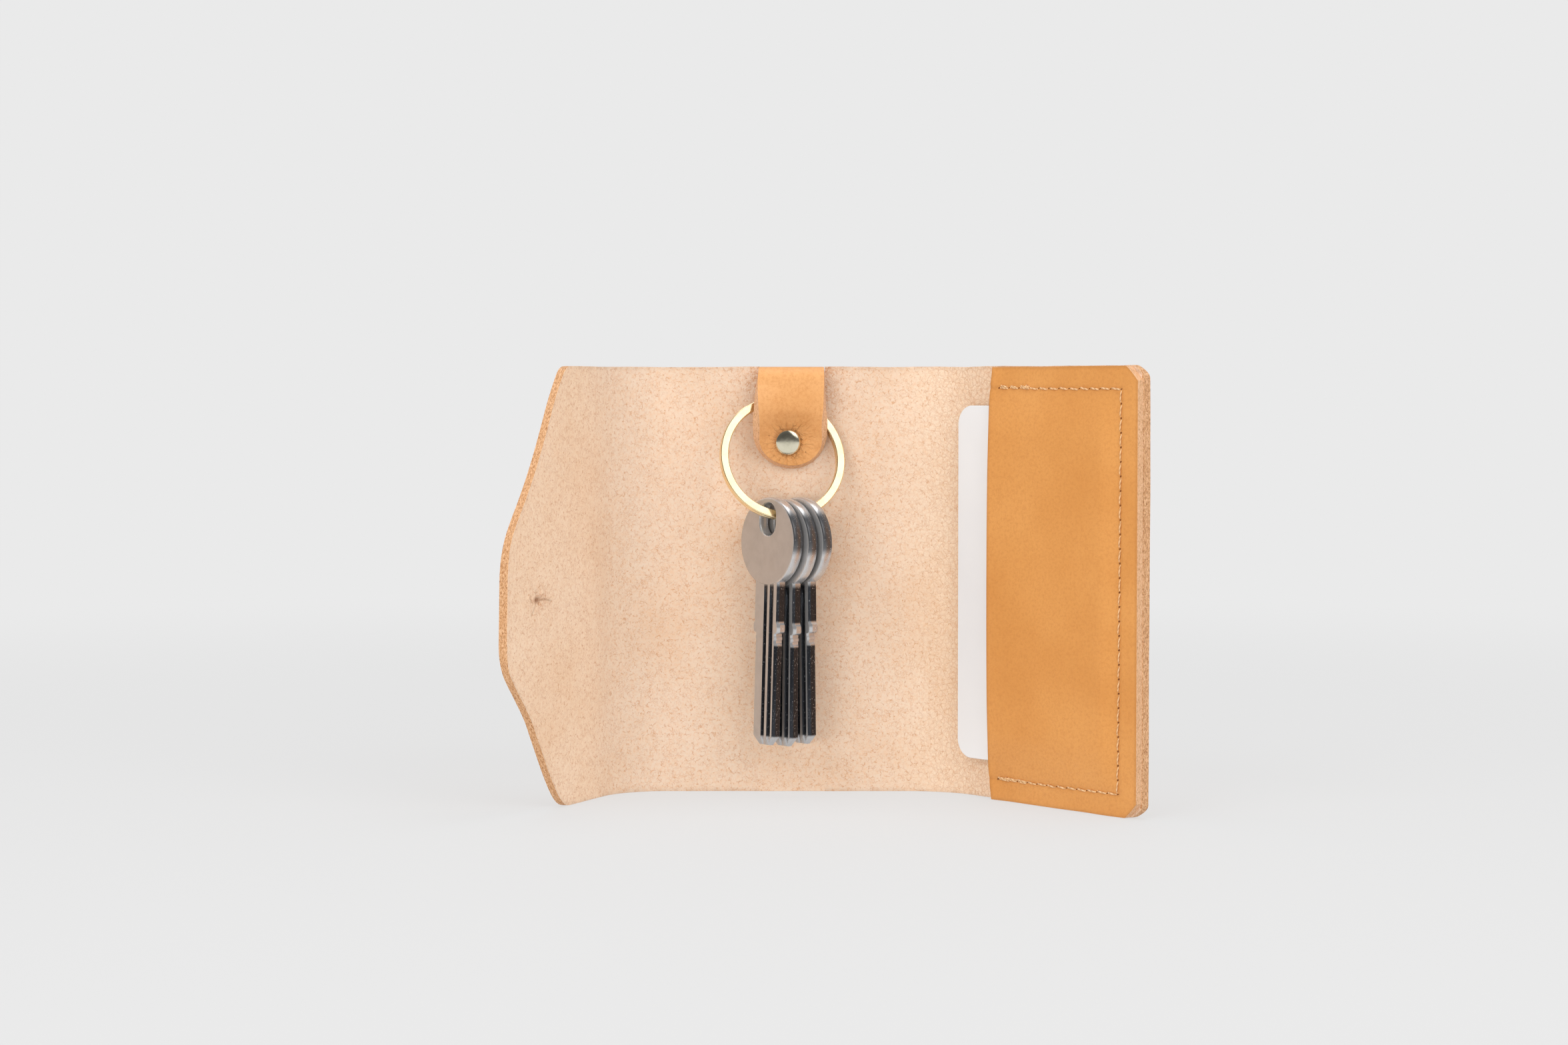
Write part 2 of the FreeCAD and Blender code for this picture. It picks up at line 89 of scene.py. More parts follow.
def curve_through(points):
    """A smooth function of x through (x, y) points, without overshoot."""
    xs, ys = zip(*points)
    slopes = [(ys[i + 1] - ys[i]) / (xs[i + 1] - xs[i]) for i in range(len(xs) - 1)]
    middle = [0.0 if a * b <= 0 else 2 * a * b / (a + b) for a, b in zip(slopes, slopes[1:])]
    tangents = slopes[:1] + middle + slopes[-1:]

    def value(x):
        if x <= xs[0]:
            return ys[0]
        if x >= xs[-1]:
            return ys[-1]
        i = max(j for j, start in enumerate(xs) if start <= x)
        h = xs[i + 1] - xs[i]
        t = (x - xs[i]) / h
        return (
            (2 * t**3 - 3 * t**2 + 1) * ys[i] + (t**3 - 2 * t**2 + t) * h * tangents[i]
            + (3 * t**2 - 2 * t**3) * ys[i + 1] + (t**3 - t**2) * h * tangents[i + 1]
        )

    return value


# ---- materials
def add_node(tree, kind, inputs=None, **settings):
    """A shader node with its settings, and its inputs linked or set."""
    made = tree.nodes.new("ShaderNode" + kind)
    for key, value in settings.items():
        setattr(made, key, value)
    for key, value in (inputs or {}).items():
        if isinstance(value, bpy.types.NodeSocket):
            tree.links.new(value, made.inputs[key])
        else:
            made.inputs[key].default_value = value
    return made


class Shader:
    """A small helper that builds one Principled material."""

    def __init__(self, name, **sockets):
        self.material = bpy.data.materials.new(name)
        self.material.use_nodes = True
        self.tree = self.material.node_tree
        self.surface = self.tree.nodes["Principled BSDF"]
        for key, value in sockets.items():
            self.surface.inputs[key.replace("_", " ")].default_value = value

    def node(self, kind, inputs=None, **settings):
        return add_node(self.tree, kind, inputs, **settings)

    def place(self, name=None, scale=(1, 1, 1), offset=(0, 0, 0)):
        """Texture coordinates in millimetres: a vertex attribute, or the object's own space."""
        if name:
            source = self.node("Attribute", attribute_name=name).outputs["Vector"]
        else:
            source = self.node("TexCoord").outputs["Object"]
            scale = tuple(1000 * s for s in scale)
        return self.node("Mapping", {"Vector": source, "Scale": scale, "Location": offset}).outputs[0]

    def noise(self, where, scale, detail=3.0, rough=0.5, distort=0.0):
        values = {"Scale": scale, "Detail": detail, "Roughness": rough, "Distortion": distort}
        return self.node("TexNoise", {"Vector": where, **values}).outputs["Fac"]

    def voronoi(self, where, scale, feature="F1"):
        made = self.node("TexVoronoi", {"Vector": where, "Scale": scale}, feature=feature)
        return made.outputs["Distance"]

    def ramp(self, fac, stops):
        made = self.node("ValToRGB", {"Fac": fac})
        elements = made.color_ramp.elements
        while len(elements) < len(stops):
            elements.new(0.5)
        for element, (position, colour) in zip(elements, stops):
            element.position, element.color = position, (*colour, 1.0)
        return made.outputs["Color"]

    def span(self, value, low, high, to_low=0.0, to_high=1.0):
        values = {"Value": value, "From Min": low, "From Max": high, "To Min": to_low, "To Max": to_high}
        return self.node("MapRange", values, interpolation_type="SMOOTHSTEP").outputs[0]

    def mix(self, fac, a, b, mode="MIX"):
        a, b = ((*value, 1.0) if isinstance(value, tuple) else value for value in (a, b))
        return self.node("Mix", {0: fac, 6: a, 7: b}, data_type="RGBA", blend_type=mode).outputs[2]

    def math(self, operation, a, b=0.0):
        return self.node("Math", {0: a, 1: b}, operation=operation).outputs[0]

    def times(self, a, b):
        return self.math("MULTIPLY", a, b)

    def vector(self, operation, a, b=(0, 0, 0), out="Vector", **more):
        return self.node("VectorMath", {0: a, 1: b, **more}, operation=operation).outputs[out]

    def painted(self, name):
        """A vertex attribute that marks where something shows, from 0 to 1."""
        return self.node("Attribute", attribute_name=name).outputs["Fac"]

    def warp(self, where, scale, amount):
        """The coordinates pushed about by noise."""
        colour = self.node("TexNoise", {"Vector": where, "Scale": scale, "Detail": 2.0}).outputs["Color"]
        centred = self.vector("SUBTRACT", colour, (0.5, 0.5, 0.5))
        return self.vector("ADD", where, self.vector("SCALE", centred, Scale=amount))

    def bump(self, height, strength, distance, under=None):
        values = {"Height": height, "Strength": strength, "Distance": distance * MM}
        if under is not None:
            values["Normal"] = under
        return self.node("Bump", values).outputs[0]

    def finish(self, colour=None, roughness=None, normal=None):
        for key, value in (("Base Color", colour), ("Roughness", roughness), ("Normal", normal)):
            if value is not None:
                self.tree.links.new(value, self.surface.inputs[key])
        return self.material


def flesh_material():
    """The napped inner side: pale peach, with a fine broken net of darker cracks between the fibres."""
    m = Shader("flesh_side", Roughness=0.9, Specular_IOR_Level=0.25, Sheen_Weight=0.12, Sheen_Roughness=0.6)
    at = m.place("hide")
    wear_and_shade = m.painted("wear_and_shade")
    crease = m.painted("crease")
    along = m.node("SeparateXYZ", {0: at}).outputs[0]
    scaly = m.span(along, 24.0, 50.0)
    bent = m.warp(m.warp(at, 1.1, 0.9), 3.4, 0.35)
    cracks = m.voronoi(bent, 0.78, "DISTANCE_TO_EDGE")
    fine = m.voronoi(m.warp(at, 2.6, 0.5), 1.7, "DISTANCE_TO_EDGE")
    line = m.span(cracks, 0.0, 0.10, 1.0, 0.0)
    thin = m.span(fine, 0.0, 0.14, 1.0, 0.0)
    broken = m.span(m.noise(at, 0.95, 3.0, 0.65), 0.48, 0.60)
    thin_broken = m.math("MAXIMUM", m.span(m.noise(at, 0.55, 4.0, 0.7), 0.46, 0.60), m.times(scaly, 0.7))
    line = m.times(line, m.math("MAXIMUM", broken, m.times(scaly, 0.75)))
    thin = m.times(m.times(thin, thin_broken), 0.62)
    net = m.math("MAXIMUM", line, thin)
    base = m.ramp(m.noise(at, 0.035, 4.0, 0.55), [(0.2, PEACH_DEEP), (0.5, PEACH), (0.8, PEACH_PALE)])
    # painted shade: darkens the middle of the flesh side a little, less towards the right end and not at all
    # on the flap
    middle_shade = m.times(m.span(along, -60.0, -35.0), m.span(along, 45.0, 20.0, 0.1, 1.0))
    base = m.mix(middle_shade, base, MIDDLE_SHADE_TINT, "MULTIPLY")
    mottled = m.mix(m.span(m.noise(at, 1.5, 4.0, 0.8), 0.42, 0.66, 0.0, 0.42), base, PEACH_DARK)
    depth = m.math("ADD", m.times(crease, 0.5), 0.52)
    colour = m.mix(m.times(net, depth), mottled, CRACK)
    specks = m.span(m.noise(at, 1.9, 2.0, 0.5), 0.68, 0.74)
    colour = m.mix(m.times(specks, 0.45), colour, CRACK)
    crushed = m.times(crease, m.span(m.noise(at, 1.4, 4.0, 0.7), 0.45, 0.62))
    colour = m.mix(m.times(crushed, 0.6), colour, CRACK)
    # worn rims, and painted shade in sunk creases and grooves
    colour = m.mix(wear_and_shade, colour, WORN_AND_SHADED)
    nap = m.math("SUBTRACT", m.noise(at, 2.4, 4.0, 0.75), m.times(net, 0.7))
    scales = m.times(m.span(cracks, 0.0, 0.3), scaly)
    broad = m.bump(scales, 0.35, 0.25, m.bump(m.noise(at, 0.35, 3.0, 0.6), 0.3, 0.35))
    normal = m.bump(nap, 0.5, 0.12, broad)
    return m.finish(colour, None, normal)


def grain_material(name, tones, seed=0.0, creased=None):
    """The smooth dyed side: mustard tan with fine pores. Fine wrinkles run out round a creased spot, with
    painted shade in their valleys.
    """
    m = Shader(name, Sheen_Weight=0.04, Specular_IOR_Level=0.38)
    at = m.place("hide", offset=(seed, seed, 0))
    wear_and_shade = m.painted("wear_and_shade")
    cells = m.voronoi(m.warp(at, 2.0, 0.35), 2.3, "DISTANCE_TO_EDGE")
    pores = m.voronoi(m.warp(at, 1.0, 0.5), 1.6)
    cloud = m.noise(at, 0.05, 3.0, 0.5)

    def dyed(shades):
        return m.ramp(cloud, list(zip((0.3, 0.5, 0.72), shades)))

    base = dyed(tones)
    if creased:
        along = m.node("SeparateXYZ", {0: at}).outputs[1]
        base = m.mix(m.span(along, 2.0, 11.0), dyed(TAN_TONES), base)
    base = m.mix(m.span(m.noise(at, 1.5, 4.0, 0.75), 0.4, 0.72, 0.0, 0.42), base, TAN_DARKER)
    pits = m.span(pores, 0.0, 0.22, 1.0, 0.0)
    colour = m.mix(m.times(pits, 0.28), base, TAN_DARKER)
    # worn rims, and painted shade in the seam's groove and round the rivet cap
    colour = m.mix(wear_and_shade, colour, TAN_DARK)
    height = m.math("ADD", m.span(cells, 0.0, 0.12), m.times(m.noise(at, 5.0, 2.0, 0.5), 0.6))
    height = m.math("SUBTRACT", height, pits)
    rough = m.span(m.noise(at, 0.9, 4.0, 0.6), 0.3, 0.7, 0.42, 0.56)
    broad = m.bump(m.noise(at, 0.22, 2.0, 0.5), 0.25, 0.2)
    if creased:
        mask = m.painted("crease")
        flat = m.vector("MULTIPLY", m.vector("SUBTRACT", at, creased), (1, 1, 0))
        away = m.vector("LENGTH", flat, out="Value")
        wound = m.vector("SCALE", m.vector("NORMALIZE", flat), Scale=5.5)
        rise = m.node("CombineXYZ", {2: m.times(away, 0.32)}).outputs[0]
        folds = m.noise(m.vector("ADD", wound, rise), 1.0, 3.0, 0.55, 0.4)
        broad = m.bump(m.times(folds, mask), 1.0, 1.7, broad)
        # painted shade in the wrinkles' valleys
        colour = m.mix(m.times(mask, m.span(folds, 0.5, 0.3, 0.0, 0.4)), colour, TAN_DARKER)
    normal = m.bump(height, 0.22, 0.06, broad)
    return m.finish(colour, rough, normal)


def edge_material(name, pale, plain, dark):
    """The raw cut edge: packed fibres along the leather, pale and dark flecks."""
    m = Shader(name, Roughness=0.86, Sheen_Weight=0.1, Specular_IOR_Level=0.25)
    at = m.place("hide")
    drawn = m.place("hide", scale=(1.0, 1.0, 2.6))
    fibres = m.noise(drawn, 1.5, 5.0, 0.8)
    flecks = m.noise(at, 2.3, 4.0, 0.75)
    band = m.noise(m.place("hide", scale=(0.25, 0.25, 1.8)), 1.0, 3.0, 0.6)
    base = m.ramp(fibres, [(0.36, dark), (0.47, plain), (0.6, pale)])
    colour = m.mix(m.span(band, 0.4, 0.7, 0.0, 0.4), base, plain)
    colour = m.mix(m.span(flecks, 0.56, 0.68, 0.0, 0.7), colour, dark)
    colour = m.mix(m.span(flecks, 0.44, 0.32, 0.0, 0.6), colour, pale)
    normal = m.bump(m.math("ADD", fibres, m.times(flecks, 0.7)), 0.8, 0.22)
    return m.finish(colour, None, normal)


def metal_material(name, colour, dull, rough, spread, scratch, brushed=(1, 1, 1), metallic=1.0):
    """Polished or satin metal with faint handling marks."""
    m = Shader(name, Metallic=metallic)
    at = m.place()
    haze = m.noise(at, 0.25, 4.0, 0.6)
    marks = m.noise(m.place(scale=brushed), 1.6, 5.0, 0.75)
    tone = m.mix(m.span(haze, 0.35, 0.7, 0.0, 0.45), colour, dull)
    tone = m.mix(m.span(marks, 0.6, 0.72, 0.0, 0.3), tone, dull)
    roughness = m.span(marks, 0.3, 0.75, rough, rough + spread)
    normal = m.bump(marks, scratch, 0.02, m.bump(m.noise(at, 0.9, 3.0, 0.6), scratch * 0.6, 0.05))
    return m.finish(tone, roughness, normal)


def keys_painted_reflection_material():
    """The keys' cut sides, in a key's own place: a painted reflection, light round the head and painted dark
    on the shank and one flank of the head, broken by light specks.
    """
    m = Shader("key_edge_painted_reflection", Metallic=0.65, Specular_IOR_Level=0.3)
    at = m.place("hide")
    parts = m.node("SeparateXYZ", {0: at})
    x, z = parts.outputs[0], parts.outputs[2]
    grains = m.noise(at, 2.6, 4.0, 0.75)
    shank = m.span(z, GROOVE_TOP + 1.4, GROOVE_TOP - 0.2)
    stop = m.times(m.span(z, SHOULDER - 3.2, SHOULDER - 2.6), m.span(z, SHOULDER + 3.2, SHOULDER + 2.6))
    stop = m.times(stop, m.span(m.math("ABSOLUTE", x), 2.9, 3.6))
    flank = m.times(m.span(z, BOW_Z - 3.5, BOW_Z - 1.0), m.span(z, BOW_Z + 8.5, BOW_Z + 6.0))
    flank = m.times(flank, m.span(x, 2.0, 6.0))
    tip = m.span(z, TIP + 2.4, TIP + 1.8, 1.0, 0.15)
    # painted dark reflection on the shank below the grooves' top and on one flank of the head, lighter at
    # the stop and the tip, broken by specks
    dark = m.times(m.math("SUBTRACT", shank, m.times(stop, 0.9)), tip)
    dark = m.math("MAXIMUM", dark, m.times(flank, 0.85))
    dark = m.times(dark, m.span(grains, 0.66, 0.60, 0.35, 1.0))
    # painted reflection: light grey, mottled
    colour = m.mix(m.noise(at, 0.5, 3.0, 0.6), (0.72, 0.72, 0.725), (0.48, 0.48, 0.485))
    colour = m.mix(dark, colour, (0.035, 0.038, 0.045))
    rough = m.span(grains, 0.3, 0.75, 0.10, 0.30)
    normal = m.bump(grains, 0.5, 0.05, m.bump(m.noise(at, 0.9, 3.0, 0.6), 0.3, 0.06))
    return m.finish(colour, rough, normal)


def card_material():
    """Satin white plastic, very slightly mottled."""
    m = Shader("card_plastic", Specular_IOR_Level=0.45)
    at = m.place()
    colour = m.ramp(m.noise(at, 0.03, 3.0, 0.5), [(0.3, (0.79, 0.79, 0.80)), (0.7, (0.84, 0.84, 0.845))])
    rough = m.span(m.noise(at, 1.2, 4.0, 0.6), 0.3, 0.7, 0.36, 0.48)
    normal = m.bump(m.noise(at, 6.0, 2.0, 0.5), 0.06, 0.02)
    return m.finish(colour, rough, normal)


def thread_material():
    """Waxed thread: three plies wound round each other."""
    m = Shader("waxed_thread", Roughness=0.62, Sheen_Weight=0.2)
    at = m.place("hide")
    values = {"Vector": at, "Scale": 0.55, "Distortion": 0.6, "Detail": 1.0}
    plies = m.node("TexWave", values, bands_direction="DIAGONAL").outputs["Fac"]
    fuzz = m.noise(at, 6.0, 4.0, 0.7)
    colour = m.ramp(plies, [(0.1, THREAD_DARK), (0.6, THREAD)])
    colour = m.mix(m.span(fuzz, 0.45, 0.7, 0.0, 0.4), colour, THREAD_DARK)
    normal = m.bump(m.math("ADD", plies, m.times(fuzz, 0.4)), 0.6, 0.12)
    return m.finish(colour, None, normal)


def hole_material():
    """The shadowed leather inside a needle hole."""
    m = Shader("needle_hole", Roughness=0.9)
    at = m.place()
    return m.finish(m.ramp(m.noise(at, 3.0, 3.0, 0.6), [(0.3, HOLE), (0.7, TAN_DARK)]))


def srgb(r, g, b):
    """A colour from display values of 0 to 255."""
    return tuple(((v / 255 + 0.055) / 1.055) ** 2.4 if v > 10 else v / 255 / 12.92 for v in (r, g, b))


PEACH, PEACH_PALE, PEACH_DEEP = srgb(247, 219, 190), srgb(250, 225, 199), srgb(240, 205, 171)
PEACH_DARK, CRACK, WORN_AND_SHADED = srgb(230, 180, 134), srgb(198, 126, 66), srgb(146, 96, 58)
MIDDLE_SHADE_TINT = (0.85, 0.87, 0.92)   # painted shade: the middle of the flesh side is made a little darker
TAN_TONES = srgb(217, 148, 76), srgb(222, 154, 82), srgb(227, 160, 88)
STRAP_TONES = srgb(222, 160, 98), srgb(228, 168, 108), srgb(234, 176, 118)
TAN_DARKER, TAN_DARK = srgb(196, 124, 58), srgb(140, 80, 36)
EDGE_COLOURS = srgb(244, 200, 158), srgb(212, 156, 106), srgb(148, 90, 52)
SMOOTH_EDGE_COLOURS = srgb(244, 200, 160), srgb(228, 176, 130), srgb(186, 128, 84)
THREAD, THREAD_DARK, HOLE = srgb(240, 198, 146), srgb(206, 154, 100), srgb(110, 64, 30)
RIVET_SPOT = (150.9, 24.47, 0.0)

FLESH = flesh_material()
GRAIN = grain_material("grain_side", TAN_TONES)
STRAP_GRAIN = grain_material("strap_grain", STRAP_TONES, 0.0, RIVET_SPOT)
POCKET_GRAIN = grain_material("pocket_grain", TAN_TONES, 40.0)
RAW_EDGE = edge_material("raw_edge", *EDGE_COLOURS)
SMOOTH_EDGE = edge_material("smooth_raw_edge", *SMOOTH_EDGE_COLOURS)
THREAD_MATERIAL = thread_material()
HOLE_MATERIAL = hole_material()
CARD_MATERIAL = card_material()
GOLD = metal_material("gold_plate", (1.0, 0.84, 0.54), (0.95, 0.70, 0.33), 0.14, 0.10, 0.06)
RIVET_METAL = metal_material("rivet_plate", (0.84, 0.79, 0.62), (0.70, 0.64, 0.48), 0.13, 0.08, 0.05)
NICKEL = metal_material(
    "key_nickel", (0.52, 0.51, 0.505), (0.42, 0.41, 0.40), 0.40, 0.10, 0.10, (1, 1, 0.6), 0.7,
)
KEY_EDGE_PAINTED_REFLECTION = keys_painted_reflection_material()


# ---- meshes
def build(name, verts, faces, materials, slots=None, body=None, smooth_angle=38.0, coords=None, wear_and_shade=None,
          crease=None):
    """A mesh object from millimetre points, with sharp edges marked and outward normals.

    coords are each point's texture coordinates, wear how worn it is together with the shade painted there,
    and crease how crushed it is, from 0 to 1.
    """
    mesh = bpy.data.meshes.new(name)
    mesh.from_pydata([tuple(MM * c for c in v) for v in verts], [], faces)
    for material in materials:
        mesh.materials.append(material)
    if slots:
        mesh.polygons.foreach_set("material_index", slots)
    if coords:
        layer = mesh.attributes.new("hide", "FLOAT_VECTOR", "POINT")
        layer.data.foreach_set("vector", [c for point in coords for c in point])
        for kind, values in (("wear_and_shade", wear_and_shade), ("crease", crease)):
            layer = mesh.attributes.new(kind, "FLOAT", "POINT")
            layer.data.foreach_set("value", values or [0.0] * len(verts))
    work = bmesh.new()
    work.from_mesh(mesh)
    bmesh.ops.remove_doubles(work, verts=work.verts, dist=1e-8)
    bmesh.ops.recalc_face_normals(work, faces=work.faces)
    limit = math.radians(smooth_angle)
    for face in work.faces:
        face.smooth = True
    for edge in work.edges:
        edge.smooth = len(edge.link_faces) == 2 and edge.calc_face_angle() < limit
    work.to_mesh(mesh)
    work.free()
    made = bpy.data.objects.new(name, mesh)
    bpy.context.scene.collection.objects.link(made)
    if body:
        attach(made, body)
    return made


def strip(rings):
    """Faces between closed rings of points that all have the same count."""
    count = len(rings[0])
    verts = [p for ring in rings for p in ring]
    faces = []
    for r in range(len(rings) - 1):
        for i in range(count):
            j = (i + 1) % count
            faces.append((r * count + i, r * count + j, (r + 1) * count + j, (r + 1) * count + i))
    return verts, faces


def rod(rings):
    """Faces between closed rings, and one over each end."""
    verts, faces = strip(rings)
    count = len(rings[0])
    return verts, faces + [tuple(range(count)), tuple(range(len(verts) - count, len(verts)))]


def leather(loops, rows, walls):
    """Faces and slots round a piece of leather: rows of points in front, walls, the back and walls again."""
    count = len(loops[0])
    _, faces = strip(loops)
    slots = ([0] * (rows - 1) + [2] * (walls + 1) + [1] * (rows - 1) + [2] * (walls + 1)) * (len(loops) - 1)
    for base in (0, (len(loops) - 1) * count):
        behind = base + 2 * rows + walls - 1
        faces += [(base + i, base + i + 1, behind - 1 - i, behind - i) for i in range(rows - 1)]
        faces.append(tuple(base + rows - 1 + i for i in range(walls + 2)))
        faces.append(tuple(base + (2 * rows + walls - 1 + i) % count for i in range(walls + 2)))
        slots += [2] * (rows + 1)
    return faces, slots


def rounded(corners, radius, parts):
    """A flat outline with round corners, from (x, y, first angle) of each corner's centre."""
    outline = []
    for x, y, start in corners:
        for i in range(parts + 1):
            a = math.radians(start + 90 * i / parts)
            outline.append((x + radius * math.cos(a), y + radius * math.sin(a)))
    return outline


# ---- hide
def path(s, d=0.0):
    """The point at distance s along the hide and d inside its middle surface."""
    side = 1 if s >= 0 else -1
    flat, radius, turn = (
        (RIGHT_FLAT, RIGHT_RADIUS, RIGHT_TURN) if s >= 0 else (LEFT_FLAT, LEFT_RADIUS, LEFT_TURN)
    )
    run = abs(s)
    angle = min(max((run - flat) / radius, 0.0), turn)
    rest = max(run - flat - radius * turn, 0.0)
    x = min(run, flat) + radius * math.sin(angle) + rest * math.cos(angle) - d * math.sin(angle)
    y = radius * (1 - math.cos(angle)) + rest * math.sin(angle) + d * math.cos(angle)
    return side * x, -y


FLAP_ROOT = -65.4
FLAP_TOP = curve_through([
    (-2.5, 104.5), (0.2, 104.45), (1.8, 104.1), (3.2, 103.2), (4.7, 101.3), (7.0, 97.9), (8.9, 94.7),
    (10.6, 91.6), (12.4, 88.4), (14.2, 85.3), (16.0, 82.3), (18.0, 79.2), (20.2, 76.1), (22.6, 73.0),
    (25.1, 70.0), (27.5, 67.1), (29.3, 64.4), (30.4, 61.6), (30.9, 59.0), (31.2, 56.0),
])
FLAP_LOW = curve_through([
    (0.5, 0.0), (2.2, 0.15), (3.8, 0.7), (5.4, 1.8), (7.4, 3.8), (10.0, 7.1), (12.6, 10.8), (14.8, 14.2),
    (17.0, 17.6), (19.1, 20.9), (21.6, 24.2), (24.4, 27.4), (27.2, 30.6), (29.6, 33.6), (30.7, 36.4),
    (31.1, 39.0), (31.2, 41.5),
])
CORNER = 3.6             # length of the cut corners at the right end
EDGE_SHARE = 0.94        # of the leather's thickness, left at its cut edge
RIM = [0.0, 0.06, 0.16, 0.32, 0.55]    # steps in from a cut edge, close enough to round it
RIM_BACK = [0.9] + RIM[::-1]
EDGE_INSETS = RIM + [1.0, 1.8]
WALL = [0.7, 0.35, 0.0, -0.35, -0.7]   # places across the raw edge, as shares of half its thickness
INSIDE = 99.0            # an inset far from any end
NOTCH_GAP = 0.01


def hide_limits(s):
    """The lowest and highest point of the hide at s."""
    low = 0.06 + 0.06 * wave(s / 9.0, 0.3)
    high = HEIGHT - 0.05 + 0.16 * wave(s / 13.0, 7.7) + 0.05 * wave(s / 3.0, 2.2)
    if s < FLAP_ROOT + 3:
        t = FLAP_ROOT - s
        rough = 0.12 * wave(s / 3.5, 4.4) * smooth(0, 4, t)
        low = max(low, FLAP_LOW(t)) + abs(rough) * smooth(1.0, 5.0, t)
        high = min(high, FLAP_TOP(t)) + rough
    if TAB_LEFT < s < TAB_RIGHT:
        high = TAB_ROOT
    t = s - RIGHT_END + CORNER
    if t > 0:
        cut = 1.55 * (1 - math.sqrt(max(1 - (t / CORNER) ** 2, 0.0))) + 0.42 * t
        low, high = max(low, cut), min(high, HEIGHT - cut)
    return low, high


def near_line(ds, dz, start, end):
    """Distance to a short line and how far along it, for creases round the pinch mark."""
    ux, uz = end[0] - start[0], end[1] - start[1]
    t = ((ds - start[0]) * ux + (dz - start[1]) * uz) / (ux * ux + uz * uz)
    t = min(max(t, 0.0), 1.0)
    return math.hypot(ds - start[0] - ux * t, dz - start[1] - uz * t), t


# the last column is the painted shade a crease gets; only the sunk ones have it
CREASES = [  # start, end, height, half width, dark
    ((0.6, -0.1), (3.4, 0.0), -0.26, 0.30, 0.7), ((3.4, 0.0), (6.2, -0.55), -0.20, 0.26, 0.6),
    ((1.2, -0.9), (2.8, -2.0), 0.26, 0.38, 0.0), ((2.8, -2.0), (3.6, -3.4), 0.20, 0.30, 0.0),
    ((-4.6, 0.7), (-3.0, -0.9), 0.20, 0.34, 0.0), ((-3.9, 0.6), (-2.4, -0.8), -0.18, 0.26, 0.45),
    ((-0.6, -0.2), (-1.4, -1.9), -0.22, 0.34, 0.55), ((-1.6, -2.2), (-3.0, -3.4), -0.12, 0.3, 0.3),
    ((1.0, 1.0), (2.6, 1.9), 0.14, 0.4, 0.0), ((-0.4, 0.9), (-1.2, 2.2), -0.12, 0.34, 0.3),
]


def pucker(s, z):
    """Creases drawn in round one spot near the flap's tip: how they lift or sink the surface, and how dark
    the spot is painted: painted shade along the sunk creases, darker at the sunk middle, with dark flecks
    round it.
    """
    ds, dz = s - PUCKER[0], z - PUCKER[1]
    r = math.hypot(ds * 0.6, dz)
    if r > 12:
        return 0.0, 0.0
    lift = -0.42 * math.exp(-((ds / 1.3) ** 2) - (dz / 0.75) ** 2)
    # darker at the sunk middle
    dark = 0.85 * math.exp(-((ds / 1.25) ** 2) - (dz / 0.8) ** 2)
    for start, end, height, wide, mark in CREASES:
        away, t = near_line(ds, dz, start, end)
        shape = math.exp(-((away / wide) ** 2)) * (1 - 0.5 * t)
        lift += 1.4 * height * shape
        # painted shade along the sunk creases
        dark = max(dark, mark * shape)
    cover = math.exp(-((r / 3.6) ** 2))
    lift += 1.5 * cover * (0.13 * wave(ds / 0.8, dz / 0.7, seed=3) + 0.10 * wave(ds / 1.7, dz / 1.2, seed=4))
    dark += 0.30 * cover * max(wave(ds / 0.7, dz / 0.6, seed=5), 0.0)
    return lift, min(dark, 1.0)


def relief(s, z):
    """How far the hide's surface wanders from its plan, in millimetres."""
    sway = 0.24 * wave(s / 34.0, z / 40.0, seed=1) + 0.09 * wave(s / 12.0, z / 14.0, seed=2)
    return sway * smooth(0.0, 8.0, min(z, 40.0) + 3.0)


def tip_lean(s, z):
    """The flap's end leans a little, so its tip reaches furthest below the middle."""
    return 0.03 * (z - 50.0) * smooth(-84.0, -96.0, s)


def half_thickness(inset, reach=0.55):
    """Half the leather's thickness at a distance from its cut edge, which is slightly rounded."""
    t = min(max(inset / reach, 0.0), 1.0)
    return HALF * (EDGE_SHARE + (1 - EDGE_SHARE) * math.sqrt(1 - (1 - t) ** 2))


def hide_loop(s, rows, end_inset):
    """One closed section of the hide at s, as (s, z, d) places. Rows are counts with heights between."""
    low, high = hide_limits(s)
    tall = high - low
    insets = [min(e, tall * 0.1) for e in EDGE_INSETS]
    stops = [low + insets[-1], *rows[1::2], high - insets[-1]]
    levels = [low + e for e in insets]
    for a, b, count in zip(stops[:-1], stops[1:], rows[::2]):
        levels += [lerp(a, b, i / count) for i in range(1, count + 1)]
    levels += [high - e for e in reversed(insets[:-1])]
    ahead, behind = hide_limits(s - 0.4), hide_limits(s + 0.4)
    lean_low = 1 / math.hypot(1, (ahead[0] - behind[0]) / 0.8)
    lean_high = 1 / math.hypot(1, (ahead[1] - behind[1]) / 0.8)
    if TAB_LEFT - 0.5 < s < TAB_RIGHT + 0.5:
        lean_high = 1.0
    front = []
    for z in levels:
        inset = min((z - low) * lean_low, (high - z) * lean_high, end_inset)
        if TAB_LEFT - NOTCH_GAP < s < TAB_RIGHT + NOTCH_GAP and z > 95:
            inset = INSIDE
        front.append((s, z, half_thickness(inset)))
    back = [(s, z, -half) for _, z, half in front]
    top_half, low_half = front[-1][2], front[0][2]
    top = [(s, high + 0.04 * (1 - w * w), w * top_half) for w in WALL]
    bottom = [(s, low - 0.03 * (1 - w * w), -w * low_half) for w in WALL]
    return front + top + back[::-1] + bottom, len(front)


